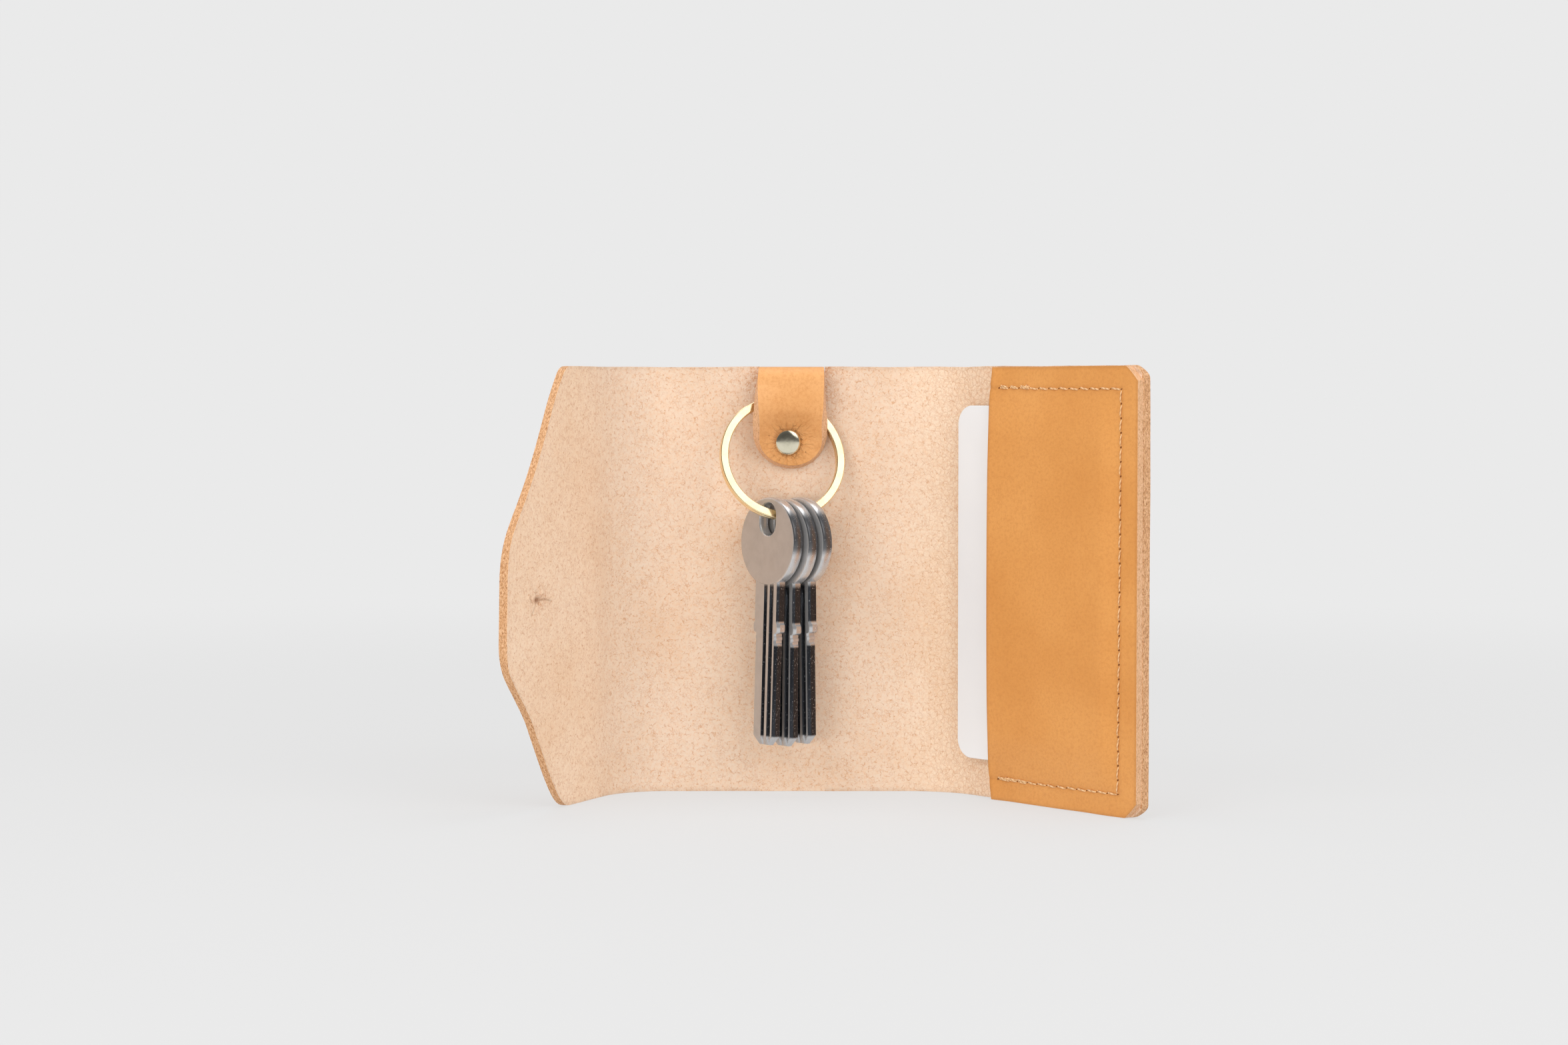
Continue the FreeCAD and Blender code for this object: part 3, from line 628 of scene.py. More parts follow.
def hide_mesh(name, stations, levels, first_end=False, last_end=False):
    """The hide between the first and last station. A free end is rounded and closed with raw edge."""
    loops = []
    for s in stations:
        inset = s - stations[0] if first_end else stations[-1] - s if last_end else INSIDE
        loop, rows = hide_loop(s, levels, inset)
        loops.append(loop)
    points, wear_and_shade, crease = [], [], []
    for loop in loops:
        for s, z, d in loop:
            lift, mark = pucker(s, z)
            if d < 0:
                lift, mark = 0.5 * lift, 0.0
            flare = 0.22 * smooth(RIGHT_END - 3.0, RIGHT_END - 0.4, s) if d < 0 else 0.0
            swell = 1 + 0.14 * smooth(LEFT_END + 1.2, LEFT_END, s)
            x, y = path(s + tip_lean(s, z), d * swell + relief(s, z) + lift - flare)
            points.append((x, y, z))
            low, high = hide_limits(s)
            in_notch = TAB_LEFT <= s <= TAB_RIGHT
            rim = 0.0 if in_notch else 0.26 * (1 - smooth(0.0, 1.3, min(z - low, high - z)))
            root = max(abs(s - TAB_MIDDLE) - TAB_HALF_WIDE, 0.0)
            crush = math.exp(-root / 3.0) * smooth(88.0, 101.0, z)
            pinch = math.hypot(s - PUCKER[0], (z - PUCKER[1]) * 1.4) / 4.5
            crease.append(max(crush, 0.55 * math.exp(-pinch ** 2)))
            # the pucker's painted crease shade, and a worn rim along the cut edges
            wear_and_shade.append(min(max(mark + rim * (0.6 + 0.8 * wave(s / 2.0, z / 2.0)), 0.0), 1.0))
    faces, slots = leather(loops, rows, len(WALL))
    count = len(loops[0])
    for index, s in enumerate(stations[:-1]):
        if s > RIGHT_END - 0.7:
            slots[index * count:index * count + rows - 1] = [2] * (rows - 1)
    coords = [place for loop in loops for place in loop]
    made = build(
        name, points, faces, [FLESH, GRAIN, RAW_EDGE], slots, coords=coords, wear_and_shade=wear_and_shade, crease=crease,
    )
    return made


def spaced(a, b, step):
    """Values from a to b, as near to a step apart as fits."""
    count = max(round((b - a) / step), 1)
    return [a + (b - a) * i / count for i in range(count + 1)]


FOLD_SEAM, CENTRE_SEAM, PANEL_SEAM = -60.0, 11.0, 34.0   # where the hide's four stretches meet
STEP, FLAP_STEP, PUCKER_STEP, CORNER_STEP = 1.2, 0.7, 0.3, 0.5
FINE_LEFT, FINE_RIGHT = PUCKER[0] - 6.5, PUCKER[0] + 7.5
PLAIN_ROWS = (80,)                     # rows of points up the hide
FLAP_ROWS = (34, 45.5, 34, 53.5, 38)   # closest between the two heights beside the pucker

stations = [LEFT_END + e for e in RIM + [0.9, 1.4, 2.0]] + spaced(LEFT_END + 2.6, FINE_LEFT, 0.6)
stations += spaced(FINE_LEFT, FINE_RIGHT, PUCKER_STEP)[1:] + spaced(FINE_RIGHT, FOLD_SEAM, FLAP_STEP)[1:]
flap = hide_mesh("hide_left_flap", stations, FLAP_ROWS, first_end=True)
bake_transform(flap)
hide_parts("left_flap")

stations = spaced(FOLD_SEAM, TAB_LEFT - NOTCH_GAP, STEP)
stations += spaced(TAB_LEFT + NOTCH_GAP, TAB_RIGHT - NOTCH_GAP, STEP) + [TAB_RIGHT + NOTCH_GAP, CENTRE_SEAM]
centre = hide_mesh("hide_back", stations, PLAIN_ROWS)
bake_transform(centre)
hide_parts("back_panel", "left_spine")

right_fold = hide_mesh("hide_right_fold", spaced(CENTRE_SEAM, PANEL_SEAM, STEP), PLAIN_ROWS)
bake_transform(right_fold)
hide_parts("right_spine")

stations = spaced(PANEL_SEAM, RIGHT_END - 5.0, STEP)
stations += spaced(RIGHT_END - 4.6, RIGHT_END - 1.1, CORNER_STEP) + [RIGHT_END - e for e in RIM_BACK]
right_panel = hide_mesh("hide_right_panel", stations, PLAIN_ROWS, last_end=True)
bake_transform(right_panel)
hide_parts("right_panel")


# ---- pocket
POCKET_WIDE = RIGHT_END - POCKET_START
POCKET_INSET = 0.12      # its edge lies this far inside the hide's
HOLLOW_RAMP = (SEAM_INSET + 0.4, SEAM_INSET + 4.4)   # from the edge, where the hollow behind it opens
RISE_MOUTH, RISE_FAR = 2.12, 1.15   # how far what is inside lifts the leather


def pocket_rise(x, z, near=2.0, far=17.0):
    """How far the pocket leather's outer face is lifted by what is in the pocket, at x from its mouth."""
    seam = POCKET_WIDE - SEAM_INSET
    across = smooth(seam - 0.4, seam - 6.5, x)
    up = smooth(near, far, min(z, HEIGHT - z))
    lift = 0.9 * math.exp(-x / 2.4) * smooth(-1.0, 3.0, min(z, HEIGHT - z) + 1.0)
    return max(lerp(RISE_MOUTH, RISE_FAR, min(x / seam, 1.0)) * across * up, lift * across)


def mouth_bow(z):
    """How far the mouth's cut edge lies back from its mean line, so that it shows as one easy curve."""
    shown = 1.4 * (1 - math.exp(-min(z, HEIGHT - z) / 11.0))
    sine, cosine = 0.766, 0.643   # of the right panel's turn
    return (shown - sine * (pocket_rise(0.0, z) - pocket_rise(0.0, 0.0))) / cosine


SEAM_TOP, SEAM_LOW = (POCKET_WIDE - 5.3, HEIGHT - 5.6), (POCKET_WIDE - 5.9, 5.35)   # the seam's corners
SEAM_START, START_TOP, START_LOW = 2.2, HEIGHT - 5.2, 5.25
STITCH, DOUBLED = 3.3, 3   # the stitches' length, and how many at each end of the seam are sewn twice


def seam_dip(x, z):
    """The shallow groove that the stitches pull into the leather."""
    side = lerp(SEAM_LOW[0], SEAM_TOP[0], z / HEIGHT)
    near = abs(x - side) if SEAM_LOW[1] - 0.6 < z < SEAM_TOP[1] + 0.6 else 9.0
    if x < side + 0.6:
        for start, corner in ((START_LOW, SEAM_LOW), (START_TOP, SEAM_TOP)):
            near = min(near, abs(z - lerp(start, corner[1], x / side)))
    return 0.16 * math.exp(-((near / 0.55) ** 2))


def pocket_limits(x):
    """The pocket leather's lowest and highest point at x from its mouth, with its two cut corners."""
    low = 0.1 + 0.08 * wave(x / 9.0, 11.3)
    high = HEIGHT - 0.25 + 0.12 * wave(x / 11.0, 3.9)
    corner = 3.9
    cut_from = POCKET_WIDE - POCKET_INSET - corner
    if x > cut_from:
        cut = 3.5 * ((x - cut_from) / corner) ** 1.25
        low, high = max(low, cut), min(high, HEIGHT - 0.2 - cut)
    return low, high


def pocket_mesh():
    """The pocket leather: closed skin on three sides, lifted in the middle, hollow behind for the card."""
    end = POCKET_WIDE - POCKET_INSET
    xs = RIM + [1.0] + spaced(1.8, end - 7.4, 0.85) + spaced(end - 7.0, end - 1.1, 0.42)
    xs += [end - e for e in RIM_BACK]
    seam_rows = [SEAM_INSET + o for o in (-1.0, -0.6, -0.3, 0.0, 0.3, 0.6, 1.0)]
    loops, wear_and_shade = [], []
    for x in xs:
        low, high = pocket_limits(x)
        base = EDGE_INSETS + [2.8] + seam_rows + [7.2, 8.6, 10.0, 11.4]
        base += [11.4 + (HEIGHT / 2 - 11.4) * i / 26 for i in range(1, 27)]
        middle = (low + high) / 2
        share = (middle - low) / (HEIGHT / 2)
        levels = [low + b * share for b in base] + [high - b * share for b in reversed(base[:-1])]
        front, back = [], []
        for z in levels:
            half = half_thickness(min(z - low, high - z, x, end - x))
            rise = pocket_rise(x, z)
            middle_d = 2 * HALF + rise
            hollow = min(middle_d - half, HALF + max(rise, pocket_rise(x, z, *HOLLOW_RAMP)))
            front.append((POCKET_START + x, z, middle_d + half - seam_dip(x, z)))
            back.append((POCKET_START + x, z, max(hollow, HALF + 0.01)))
        across = (0.2, 0.4, 0.6, 0.8)
        top = [(POCKET_START + x, high, lerp(front[-1][2], back[-1][2], t)) for t in across]
        bottom = [(POCKET_START + x, low, lerp(back[0][2], front[0][2], t)) for t in across]
        loops.append(front + top + back[::-1] + bottom)
    points = []
    for loop in loops:
        for s, z, d in loop:
            bow = mouth_bow(z) * (1 - smooth(0, 12, s - POCKET_START))
            x, y = path(s - bow, d)
            points.append((x, y, z))
            x_in = s - POCKET_START
            low, high = pocket_limits(x_in)
            rim = 0.25 * (1 - smooth(0.0, 0.9, min(z - low, high - z, x_in, end - x_in)))
            # painted shade along the seam's groove, and a worn rim along the cut edges
            wear_and_shade.append(min(rim + 0.9 * seam_dip(x_in, z), 1.0))
    faces, slots = leather(loops, len(front), len(top))
    coords = [place for loop in loops for place in loop]
    made = build(
        "pocket_leather", points, faces, [POCKET_GRAIN, FLESH, SMOOTH_EDGE], slots, "right_panel",
        coords=coords, wear_and_shade=wear_and_shade,
    )
    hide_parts("pocket_panel")


pocket_mesh()


# ---- seam
def seam_runs():
    """Stitch ends as (x, z), from the mouth at the top round to the mouth below."""
    corners = [(SEAM_START, START_TOP), SEAM_TOP, SEAM_LOW, (SEAM_START, START_LOW)]
    points = [corners[0]]
    for (x0, z0), (x1, z1) in zip(corners[:-1], corners[1:]):
        count = round(math.hypot(x1 - x0, z1 - z0) / STITCH)
        points += [(lerp(x0, x1, i / count), lerp(z0, z1, i / count)) for i in range(1, count + 1)]
    return points


def capsule(a, b, radius, lift, sink, sides=8, steps=7):
    """Rings of a length of thread from a to b, dipping into the leather at both ends."""
    a, b = Vector(a), Vector(b)
    back = Vector((0, 1, 0))
    across = (b - a).normalized().cross(back).normalized()
    rings = []
    for i in range(steps + 1):
        t = i / steps
        arch = max(math.sin(math.pi * t), 0.0) ** 0.5
        centre = a.lerp(b, t) + back * (sink - lift * arch)
        size = radius * (0.72 + 0.28 * arch)
        turns = [2 * math.pi * k / sides for k in range(sides)]
        rings.append([centre + across * size * math.cos(r) + back * size * math.sin(r) for r in turns])
    return rings


def stitches(name, node, front):
    """One side of the seam: slanted stitches, some sewn twice, two knots in front, and the needle holes."""
    rng = random.Random(7 if front else 8)
    out = 1 if front else -1
    verts, faces, coords, slots = [], [], [], []
    points = seam_runs()
    last = len(points) - 1
    pairs = [(a, b, 0.19 if abs(a[0] - b[0]) < 1 else 0.23) for a, b in zip(points[:-1], points[1:])]
    for run in (*range(DOUBLED), *range(last - DOUBLED, last)):
        (x0, z0), (x1, z1) = points[run], points[run + 1]
        pairs.append(((x0 + 0.3, z0 + 0.42), (x1 - 0.3, z1 + 0.34), 0.22))
    if front:
        for (x, z), left, up in ((points[3], 0.4, 0.1), (points[last - 1], 0.0, 0.2)):
            x, z = x - left, z + up
            pairs.append(((x - 0.9, z - 0.5), (x + 0.8, z + 0.5), 0.34))
            pairs.append(((x - 0.7, z + 0.6), (x + 0.9, z - 0.4), 0.32))
    holes_from = len(pairs)
    pairs += [((x - 0.34, z - 0.14), (x + 0.34, z + 0.14), 0.28) for x, z in points]
    for index, ((x0, z0), (x1, z1), thick) in enumerate(pairs):
        hole = index >= holes_from
        run = Vector((x1 - x0, 0, z1 - z0))
        unit = run.normalized()
        side = Vector((-unit.z, 0, unit.x))
        jitter = 0.0 if hole else 0.10 * rng.uniform(-1, 1)
        tilt = 0.0 if hole else 0.16 + 0.05 * rng.uniform(-1, 1)
        ends = []
        for (x, z), sign in (((x0, z0), 1), ((x1, z1), -1)):
            p = Vector((x, 0, z)) + unit * (0.0 if hole else 0.32) * sign + side * (tilt * sign + jitter)
            depth = 3.0 + pocket_rise(p.x, p.z) - seam_dip(p.x, p.z) - 0.02 if front else -HALF
            ends.append((p.x, -depth, p.z))
        lift, sink = (0.0, 0.2) if hole else (0.5 if thick > 0.3 else 0.24, 0.0)
        rings = capsule(*ends, thick, lift * out, sink * out)
        start = len(verts)
        for ring in rings:
            for p in ring:
                sway = 0.0 if front else relief(POCKET_START + p.x, p.z)
                verts.append((*path(POCKET_START + p.x, sway - p.y), p.z))
                coords.append((p.dot(unit), p.dot(side), p.y))
        _, part = rod(rings)
        faces += [tuple(start + i for i in face) for face in part]
        slots += [int(hole)] * len(part)
    made = build(name, verts, faces, [THREAD_MATERIAL, HOLE_MATERIAL], slots, "right_panel", 60, coords)
    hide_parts(node)


stitches("seam_thread_front", "pocket_thread_front", True)
stitches("seam_thread_back", "pocket_thread_back", False)


# ---- card
def card():
    """A blank card with softened edges, leaning a little out of the pocket's mouth."""
    wide, high, thick, round_ = 54.0, 85.6, 0.8, 4.5
    low_z, far, lean = 9.45, 100.3, math.radians(1.6)
    gap = HALF + 0.12   # the card stands this far in front of the hide's middle surface
    outline = rounded([
        (-round_, low_z + round_, -90), (-round_, low_z + high - round_, 0),
        (-wide + round_, low_z + high - round_, 90), (-wide + round_, low_z + round_, 180),
    ], round_, 12)
    px, py = path(far)
    along, inward = (Vector((math.cos(a), -math.sin(a))) for a in (RIGHT_TURN, RIGHT_TURN + math.pi / 2))
    middle_z = low_z + high / 2
    rings = []
    for inset, y in (
        (0.22, 0.0), (0.06, 0.03), (0.0, 0.12), (0.0, thick - 0.12), (0.06, thick - 0.03), (0.22, thick),
    ):
        ring = []
        for x, z in outline:
            x = -wide / 2 + (x + wide / 2) * (1 - inset / (wide / 2))
            z = middle_z + (z - middle_z) * (1 - inset / (high / 2))
            place = Vector((px, py)) + along * x * math.cos(lean) + inward * (gap + y - x * math.sin(lean))
            ring.append((*place, z))
        rings.append(ring)
    verts, faces = rod(rings)
    made = build("card_blank", verts, faces, [CARD_MATERIAL], body="card", smooth_angle=50)
    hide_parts("card")


card()


# ---- key tab
FOLD_R = 3.3                # of the tab's fold over the top edge
FOLD_TURN = math.pi * FOLD_R
TAB_LEVELS = [   # height, and how far the left, middle and right stand off the back panel
    (100.2, 6.6, 6.6, 6.6), (97.0, 8.0, 6.9, 7.2), (94.5, 8.3, 6.5, 7.2), (92.0, 7.7, 4.6, 7.0),
    (89.7, 6.5, 2.6, 6.2), (87.5, 5.2, 2.05, 4.9), (84.0, 3.9, 2.05, 3.5), (79.0, 3.0, 2.2, 2.8),
]
TAB_COLUMNS = [curve_through([(-row[0], row[i]) for row in TAB_LEVELS]) for i in (1, 2, 3)]
RIVET_X, RIVET_Z = 0.9, 86.1
# How far the strap spreads, and how far its cut edge leans.
LEFT_SPREAD, LEFT_SLANT, RIGHT_SLANT, LOW_SLANT = 0.95, 0.4, 0.25, 0.7


def tab_depth(x, z):
    """How far the tab's middle surface stands in front of the back panel's."""
    left, middle, right = (column(-z) for column in TAB_COLUMNS)
    t = (x - TAB_MIDDLE) / TAB_HALF_WIDE
    depth = middle + (right - left) / 2 * t + ((left + right) / 2 - middle) * t * t
    dx, dz = x - RIVET_X, z - RIVET_Z
    r = math.hypot(dx, dz)
    angle = math.atan2(dz, dx)
    creases = 0.10 * math.sin(17 * angle + 1.3) + 0.07 * math.sin(29 * angle)
    depth += creases * smooth(3.0, 4.4, r) * math.exp(-max(r - 4.2, 0) / 1.9)
    return max(depth, 2.02)


def strap_point(x, v):
    """A point of the tab's middle surface at x, and v along the strap from its root."""
    if v <= FOLD_TURN:
        a = v / FOLD_R
        return Vector((x, -FOLD_R + FOLD_R * math.cos(a), TAB_ROOT + FOLD_R * math.sin(a)))
    z = TAB_ROOT - (v - FOLD_TURN)
    return Vector((x, -tab_depth(x, z), z))


def tab_place(x, v):
    """The same point, with the tab's normal there."""
    p = strap_point(x, v)
    if v <= FOLD_TURN:
        return p, (p - Vector((x, -FOLD_R, TAB_ROOT))).normalized()
    along = (strap_point(x, v + 0.05) - strap_point(x, v - 0.05)).normalized()
    across = (strap_point(x + 0.05, v) - strap_point(x - 0.05, v)).normalized()
    out = along.cross(across)
    return p, (-out if out.y > 0 else out).normalized()


def tab():
    """The strap, folded over the top edge, with a round end pressed flat under the rivet."""
    turn = FOLD_TURN
    total = turn + TAB_ROOT - TAB_END
    vs = spaced(0.0, turn, 0.5) + spaced(turn + 0.5, total - TAB_HALF_WIDE, 0.4)
    for i in range(1, 25):
        a = math.pi / 2 * i / 24
        vs.append(total - TAB_HALF_WIDE + TAB_HALF_WIDE * math.sin(a))
    vs[-1] = total - 0.004
    sides = [0.88, 0.93, 0.962, 0.98, 0.992, 1.0]
    shares = [-t for t in sides[::-1]] + [-0.8 + 1.6 * i / 22 for i in range(23)] + sides
    loops, wear_and_shade, crease, coords = [], [], [], []
    for v in vs:
        half = TAB_HALF_WIDE
        past = v - (total - TAB_HALF_WIDE)
        if past > 0:
            half = math.sqrt(max(TAB_HALF_WIDE**2 - past**2, 0.0))
        front, back = [], []
        opened = smooth(0.25 * turn, 1.3 * turn, v)
        for t in shares:
            x = TAB_MIDDLE + half * t - LEFT_SPREAD * opened * max(-t, 0.0) ** 2 * half / TAB_HALF_WIDE
            inset = max(TAB_HALF_WIDE - math.hypot(half * t, past) if past > 0 else half * (1 - abs(t)), 0.0)
            p, out = tab_place(x, v)
            h = half_thickness(inset, 0.5)
            near = max(past, 0.0) / TAB_HALF_WIDE
            reach = (math.hypot(half * t, max(past, 0.0)) / TAB_HALF_WIDE) ** 5
            slant = LEFT_SLANT * opened * math.sqrt(1 - near * near) if t < 0 else -RIGHT_SLANT * (1 - near)
            shift = slant * reach
            x_front, v_front = x + shift, v - LOW_SLANT * reach * near
            q, out_front = tab_place(x_front, v_front)
            front.append((q + out_front * h, (x_front, v_front, h)))
            back.append((p - out * h, (x, v, -h)))
        across = (0.25, 0.5, 0.75)
        right = [(front[-1][0].lerp(back[-1][0], w), (x, v, 1 - 2 * w)) for w in across]
        left = [(back[0][0].lerp(front[0][0], w), (TAB_MIDDLE - half, v, 2 * w - 1)) for w in across]
        loops.append(front + right + back[::-1] + left)
    points = [tuple(p) for loop in loops for p, c in loop]
    for loop in loops:
        for p, (x, v, d) in loop:
            coords.append((x + 150, v, d))
            r = math.hypot(p.x - RIVET_X, p.z - RIVET_Z)
            # painted shadow in a thin ring round the rivet cap's rim
            wear_and_shade.append(0.5 * math.exp(-max(r - 3.2, 0) / 0.35) if v > turn + 5 else 0.0)
            side = 0.55 + 0.45 * smooth(-3.0, 3.0, p.x - RIVET_X)
            crease.append(side * math.exp(-max(r - 3.4, 0) / 2.6) if v > turn + 3 else 0.0)
    faces, slots = leather(loops, len(front), len(right))
    made = build(
        "key_strap", points, faces, [STRAP_GRAIN, FLESH, SMOOTH_EDGE], slots, "back", 45,
        coords, wear_and_shade, crease,
    )
    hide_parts("key_tab")


tab()


# ---- rivet
def turned(name, profile, centre, axis_sign, material, body, node, sides=64):
    """A solid of revolution about Y from (radius, depth) points."""
    rings = []
    for radius, y in profile:
        rings.append([
            (centre[0] + radius * math.cos(2 * math.pi * k / sides), centre[1] + axis_sign * y,
             centre[2] + radius * math.sin(2 * math.pi * k / sides)) for k in range(sides)
        ])
    verts, faces = rod(rings)
    made = build(name, verts, faces, [material], body=body, smooth_angle=40)
    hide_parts(node)


CAP = [   # radius and height of the domed head
    (0.05, 0.82), (0.8, 0.81), (1.5, 0.775), (2.0, 0.725), (2.4, 0.655), (2.7, 0.56), (2.95, 0.43),
    (3.1, 0.3), (3.2, 0.14), (3.23, 0.0), (3.2, -0.1), (3.05, -0.16),
]
cap_profile = CAP + [(1.5, -0.14), (1.3, -0.3), (1.3, -3.8)]
turned("rivet_front", cap_profile, (RIVET_X, -3.28, RIVET_Z), -1, RIVET_METAL, "back", "rivet_cap")
rear_profile = CAP + [(1.2, -0.14), (0.85, -0.3), (0.85, -3.6)]
turned("rivet_rear", rear_profile, (RIVET_X, 1.0, RIVET_Z), 1, RIVET_METAL, "back", "rivet_post")


# ---- split ring
RING_MIDDLE, RING_HALF_WIDE, COIL, COIL_GAP = 14.5, 1.0, 1.0, 0.04
RING_TOP = Vector((-1.43, -4.0, 96.1))
RING_TURN = Matrix.Rotation(math.radians(14.0), 3, "Z") @ Matrix.Rotation(math.radians(-17.0), 3, "X")


def ring_point(angle, out, y):
    """A point of the ring at an angle in degrees, out from the wire's middle, and y behind its plane."""
    a = math.radians(angle)
    r = RING_MIDDLE + out
    local = Vector((r * math.cos(a), y, r * math.sin(a) - RING_MIDDLE))
    return RING_TOP + RING_TURN @ local


def split_ring():
    """Two turns of flat wire that pass from one plane to the other, in part of the circle."""
    level = (COIL + COIL_GAP) / 2
    w, h, c = RING_HALF_WIDE, COIL / 2, 0.24
    corners = [(w - c, h - c, 0), (-w + c, h - c, 90), (-w + c, -h + c, 180), (w - c, -h + c, 270)]
    section = rounded(corners, c, 4)
    rings = []
    start, jog_start, jog_end, end = 122.5, 422.0, 458.0, 777.0
    angles = spaced(start, end, 2.0)
    for i, angle in enumerate(angles):
        y = lerp(-level, level, smooth(jog_start, jog_end, angle))
        near_end = min(angle - start, end - angle)
        shrink = 1.0 - 0.10 * (1 - smooth(0.0, 1.2, near_end))
        rings.append([tuple(ring_point(angle, x * shrink, y + t * shrink)) for x, t in section])
    verts, faces = rod(rings)
    made = build("split_ring_gold", verts, faces, [GOLD], body="ring", smooth_angle=42)
    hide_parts("split_ring")


split_ring()


# ---- keys
BOW_SIDES = 96
HOLE_RADIUS, HOLE_TOP, HOLE_LOW = 3.0, -0.3, -2.1
NECK, BLADE, BLADE_HALF = 4.65, 4.15, 1.3   # half widths above and below the shoulder, half thickness
GROOVE_DEPTH = 0.75
GROOVES = ((-0.1, 1.3), (2.2, 1.5))   # middle across the blade, width
KEY_YAW, KEY_PITCH = 52.0, 3.55       # degrees from the back panel, spacing along the ring
KEY_LEANS = (1.9, 0.6, -0.8)   # degrees that each key leans out of its plane, fanned by the others


def bow_parts():
    """The round head with its slot: rings from the slot's rim over the face, round the edge and back."""

    def circle(at_hole, grow, y):
        ring = []
        for k in range(BOW_SIDES):
            a = 2 * math.pi * k / BOW_SIDES
            r = grow + (HOLE_RADIUS if at_hole else BOW_R)
            x, z = r * math.cos(a), r * math.sin(a)
            ring.append((x, y, z + ((HOLE_TOP if z > 0 else HOLE_LOW) if at_hole else BOW_Z)))
        return ring

    half = [
        (True, 0.0, 1.0), (True, 0.10, 1.22), (True, 0.32, 1.40),
        (False, -0.75, 1.40), (False, -0.38, 1.34), (False, -0.12, 1.16), (False, 0.0, 0.85),
    ]
    rings = [circle(True, 0.0, 0.0)] + [circle(*level) for level in half]
    rings += [circle(at_hole, grow, -y) for at_hole, grow, y in reversed(half)]
    verts, faces = strip(rings + [rings[0]])
    bands = [1, 1, 1, 0, 0, 1, 1, 1, 1, 1, 0, 0, 1, 1, 1]   # the two faces, and edges between them
    return verts, faces, [band for band in bands for _ in range(BOW_SIDES)]


def blade_section(z, half_wide, half_thick, bevel, depth):
    """The blade's outline at a height: two grooves on each face, bevelled corners."""
    face = [(-half_wide + bevel, 0.0)]
    for middle, wide in GROOVES:
        for share, level in ((-0.5, 0.0), (-0.30, 0.9), (-0.12, 1.0), (0.12, 1.0), (0.30, 0.9), (0.5, 0.0)):
            face.append((min(middle + wide * share, half_wide - bevel - 0.02), level * depth))
    face.append((half_wide - bevel, 0.0))
    front = [(x, -half_thick + y) for x, y in face]
    side = [(half_wide, -half_thick + bevel), (half_wide, half_thick - bevel)]
    back = [(-x, half_thick - y) for x, y in face]
    other = [(-half_wide, half_thick - bevel), (-half_wide, -half_thick + bevel)]
    return [(x, y, z) for x, y in front + side + back + other]


def blade_parts():
    """The shank from inside the head to the tip, with its stop, shoulder and bevelled end."""
    stop, deep = SHOULDER + 2.6, GROOVE_DEPTH
    levels = [   # height, half width, bevel, groove depth
        (BOW_Z, NECK, 0.5, 0.0), (GROOVE_TOP + 1.2, NECK, 0.5, 0.0), (GROOVE_TOP, NECK, 0.5, 0.05),
        (GROOVE_TOP - 2.2, NECK, 0.5, 0.5), (GROOVE_TOP - 5.0, NECK, 0.5, deep),
        (stop + 0.35, NECK, 0.5, deep), (stop, NECK + 0.05, 0.5, deep), (stop - 0.4, NECK + 0.42, 0.6, deep),
        (stop - 0.9, NECK + 0.5, 0.6, deep), (stop - 1.7, NECK + 0.5, 0.6, deep),
        (SHOULDER + 0.45, NECK + 0.35, 0.6, deep), (SHOULDER + 0.1, NECK - 0.2, 0.5, deep),
        *((SHOULDER - drop, BLADE - cut, 0.45, deep) for drop, cut in (
            (0.0, 0.25), (0.7, 0.3), (0.8, 0.12), (1.5, 0.12), (1.6, 0.3), (2.3, 0.28))),
        (SHOULDER - 2.5, BLADE, 0.62, deep), (TIP + 6.0, BLADE, 0.62, deep), (TIP + 2.2, BLADE, 0.62, deep),
    ]
    levels = [(z, half, BLADE_HALF, bevel, depth) for z, half, bevel, depth in levels] + [
        (TIP + 1.4, BLADE - 0.75, BLADE_HALF - 0.12, 0.55, 0.62),
        (TIP + 0.5, BLADE - 1.6, BLADE_HALF - 0.5, 0.35, 0.3),
        (TIP, BLADE - 2.0, BLADE_HALF - 0.72, 0.2, 0.1),
    ]
    rings = [blade_section(*level) for level in levels]
    verts, faces = rod(rings)
    face = [0, 1, 1, 1, 1, 1, 0, 1, 1, 1, 1, 1, 0]   # flats and grooves
    slots = (face + [1, 1, 1]) * 2 * (len(rings) - 1)
    return verts, faces, slots + [1, 1]


def key(number):
    """One key on the ring's wire, with finely bevelled edges."""
    step = math.degrees(KEY_PITCH / RING_MIDDLE)
    pivot = ring_point(270 + step * (number - 1), 0.0, 0.0)
    lean = Matrix.Rotation(math.radians(-KEY_LEANS[number]), 3, "X")
    turn = Matrix.Rotation(math.radians(-KEY_YAW), 3, "Z") @ lean
    verts, faces, slots = bow_parts()
    more, more_faces, more_slots = blade_parts()
    faces += [tuple(len(verts) + i for i in face) for face in more_faces]
    verts += more
    placed = [tuple(pivot + turn @ Vector(v)) for v in verts]
    name = f"key_{number + 1}"
    made = build(
        f"key_blank_{number + 1}", placed, faces, [NICKEL, KEY_EDGE_PAINTED_REFLECTION], slots + more_slots, name, 28, verts,
    )
    bevel = made.modifiers.new("edges", "BEVEL")
    bevel.width, bevel.segments = 0.07 * MM, 2
    bevel.limit_method, bevel.angle_limit = "ANGLE", math.radians(30)
    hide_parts(name)


for index in range(3):
    key(index)


# ---- stage, light, camera
BACKGROUND, FLOOR = (0.823, 0.823, 0.823), (0.68, 0.68, 0.68)
FLOOR_FROM, FLOOR_TO = 0.10, 0.75   # metres from the object, where the floor turns into the backdrop
WORLD_STRENGTH = 0.5
WORLD_STOPS = [(0.0, 0.35), (0.5, 0.9), (1.0, 1.0)]     # brightness from the front round to the back
MIRROR_STOPS = [(0.0, 0.07), (0.3, 0.25), (1.0, 0.9)]   # and what shiny surfaces see there


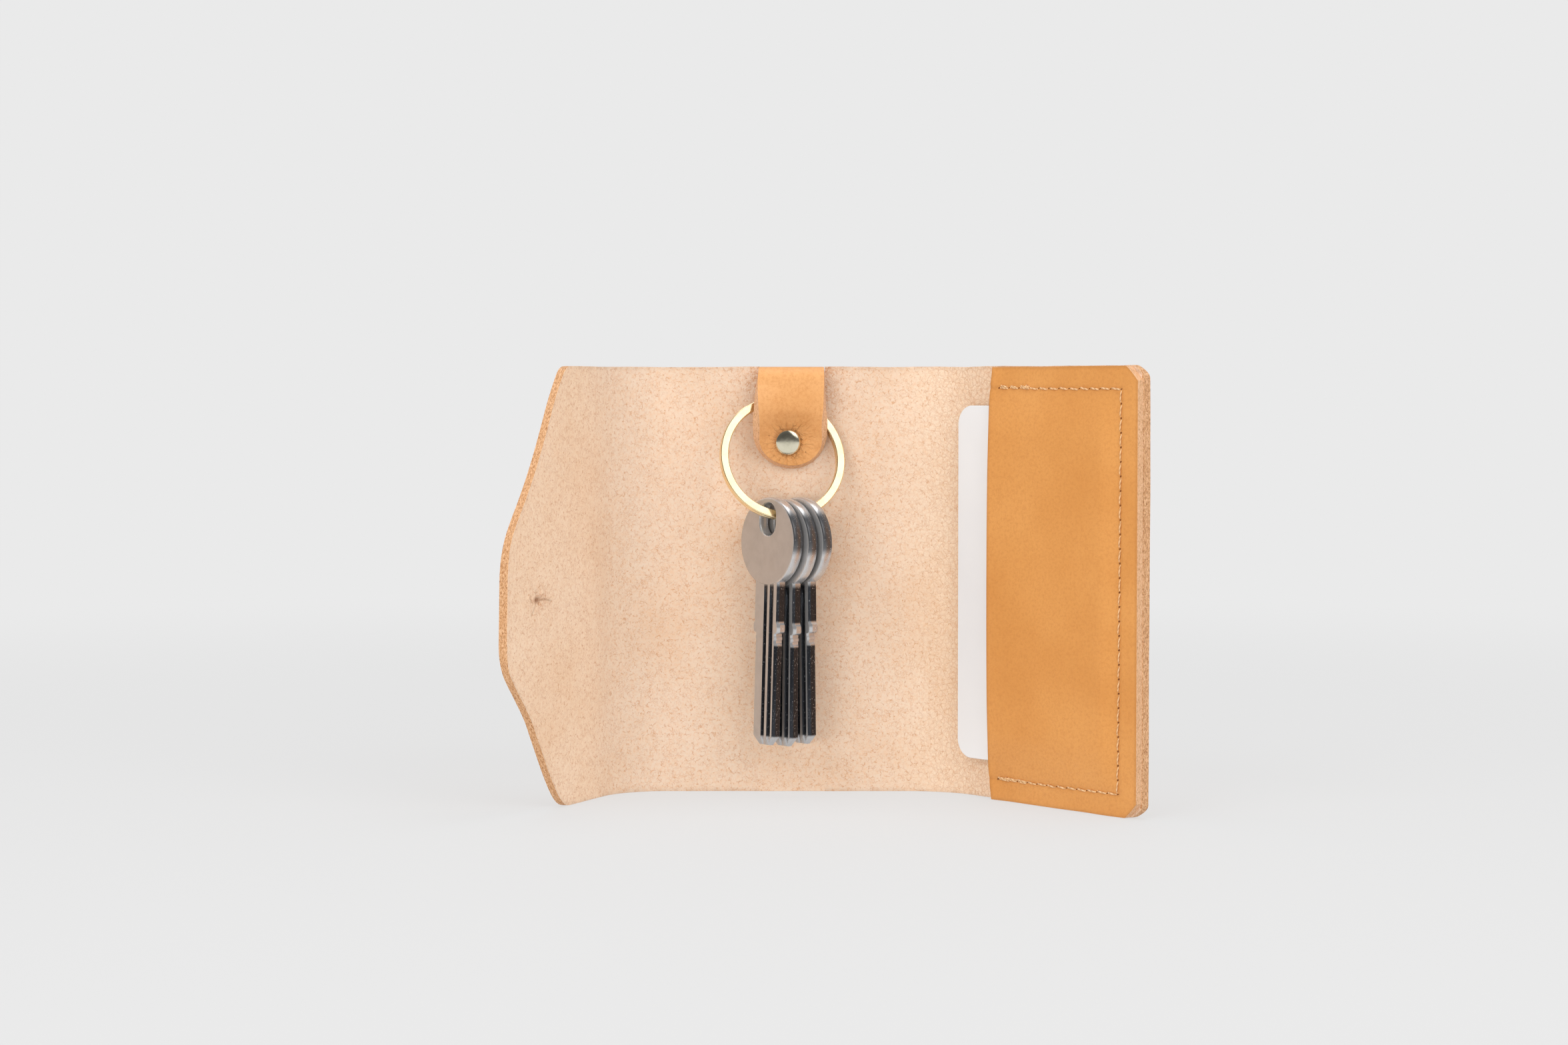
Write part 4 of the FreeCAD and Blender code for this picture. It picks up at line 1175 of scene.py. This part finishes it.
def stage():
    """A plain pale floor, which fades into the backdrop away from the object."""
    mesh = bpy.data.meshes.new("floor")
    work = bmesh.new()
    bmesh.ops.create_grid(work, x_segments=8, y_segments=8, size=15.0)
    work.to_mesh(mesh)
    work.free()
    floor = bpy.data.objects.new("floor", mesh)
    bpy.context.scene.collection.objects.link(floor)
    m = Shader("floor_paper", Roughness=0.7, Base_Color=(*FLOOR, 1.0), Specular_IOR_Level=0.2)
    where = m.node("TexCoord").outputs["Object"]
    distance = m.vector("LENGTH", where, out="Value")
    far = m.span(distance, FLOOR_FROM, FLOOR_TO, 0.72, 1.0)
    glow = m.node("Emission", {"Color": (*BACKGROUND, 1.0), "Strength": 1.0})
    both = m.node("MixShader", {0: far, 1: m.surface.outputs[0], 2: glow.outputs[0]})
    m.tree.links.new(both.outputs[0], m.tree.nodes["Material Output"].inputs["Surface"])
    mesh.materials.append(m.material)


def world():
    """A plain backdrop for the camera, a soft surround for the light, and a darker one for reflections."""
    made = bpy.data.worlds.new("studio")
    bpy.context.scene.world = made
    made.use_nodes = True
    made.node_tree.nodes.clear()

    def add(*about, **settings):
        return add_node(made.node_tree, *about, **settings)

    towards = add("SeparateXYZ", {0: add("TexCoord").outputs["Generated"]}).outputs["Y"]
    share = add("Math", {0: towards, 1: 0.5, 2: 0.5}, operation="MULTIPLY_ADD").outputs[0]

    def graded(stops, strength):
        ramp = add("ValToRGB", {"Fac": share})
        ramp.color_ramp.elements.new(0.5)
        for element, (position, value) in zip(ramp.color_ramp.elements, stops):
            element.position, element.color = position, (value, value, value, 1.0)
        return add("Background", {"Color": ramp.outputs["Color"], "Strength": strength}).outputs[0]

    rays = add("LightPath").outputs
    lit, mirrored = graded(WORLD_STOPS, WORLD_STRENGTH), graded(MIRROR_STOPS, 1.0)
    bounce = add("MixShader", {0: rays["Is Glossy Ray"], 1: lit, 2: mirrored}).outputs[0]
    seen = add("Background", {"Color": (*BACKGROUND, 1.0)}).outputs[0]
    pick = add("MixShader", {0: rays["Is Camera Ray"], 1: bounce, 2: seen}).outputs[0]
    add("OutputWorld", {0: pick})


def area(name, where, target, size, power, glossy=True):
    """A rectangular soft light, aimed at a target."""
    data = bpy.data.lights.new(name, "AREA")
    data.shape, data.size, data.size_y = "RECTANGLE", size[0], size[1]
    data.energy = power
    made = bpy.data.objects.new(name, data)
    made.location = where
    made.rotation_euler = (Vector(target) - Vector(where)).to_track_quat("-Z", "Y").to_euler()
    made.visible_glossy = glossy
    bpy.context.scene.collection.objects.link(made)


stage()
world()
AIM = (0, 0, 0.05)
area("key_light", (-0.55, -0.75, 0.75), AIM, (0.7, 0.7), 3.9, glossy=False)
area("side_light", (0.6, -0.7, 0.6), AIM, (0.75, 0.75), 2.6, glossy=False)
area("fill_light", (0.47, -0.79, 0.68), AIM, (0.7, 0.7), 2.3)
area("low_light", (-0.25, -0.85, 0.06), (0.05, 0, 0.02), (0.7, 0.12), 2.2, glossy=False)
area("top_light", (0.0, 0.1, 1.0), (0, -0.02, 0.05), (0.9, 0.6), 3.9)

CAMERA_AT, CAMERA_DIP = (0.0, -0.749, 0.09675), 2.33   # metres, degrees below level
LENS, SENSOR = 70.0, 36.0
camera_data = bpy.data.cameras.new("camera")
camera_data.lens, camera_data.sensor_width = LENS, SENSOR
camera = bpy.data.objects.new("camera", camera_data)
camera.location = CAMERA_AT
camera.rotation_euler = (math.radians(90 - CAMERA_DIP), 0.0, 0.0)
bpy.context.scene.collection.objects.link(camera)
bpy.context.scene.camera = camera
bpy.context.scene.view_settings.view_transform = "Standard"
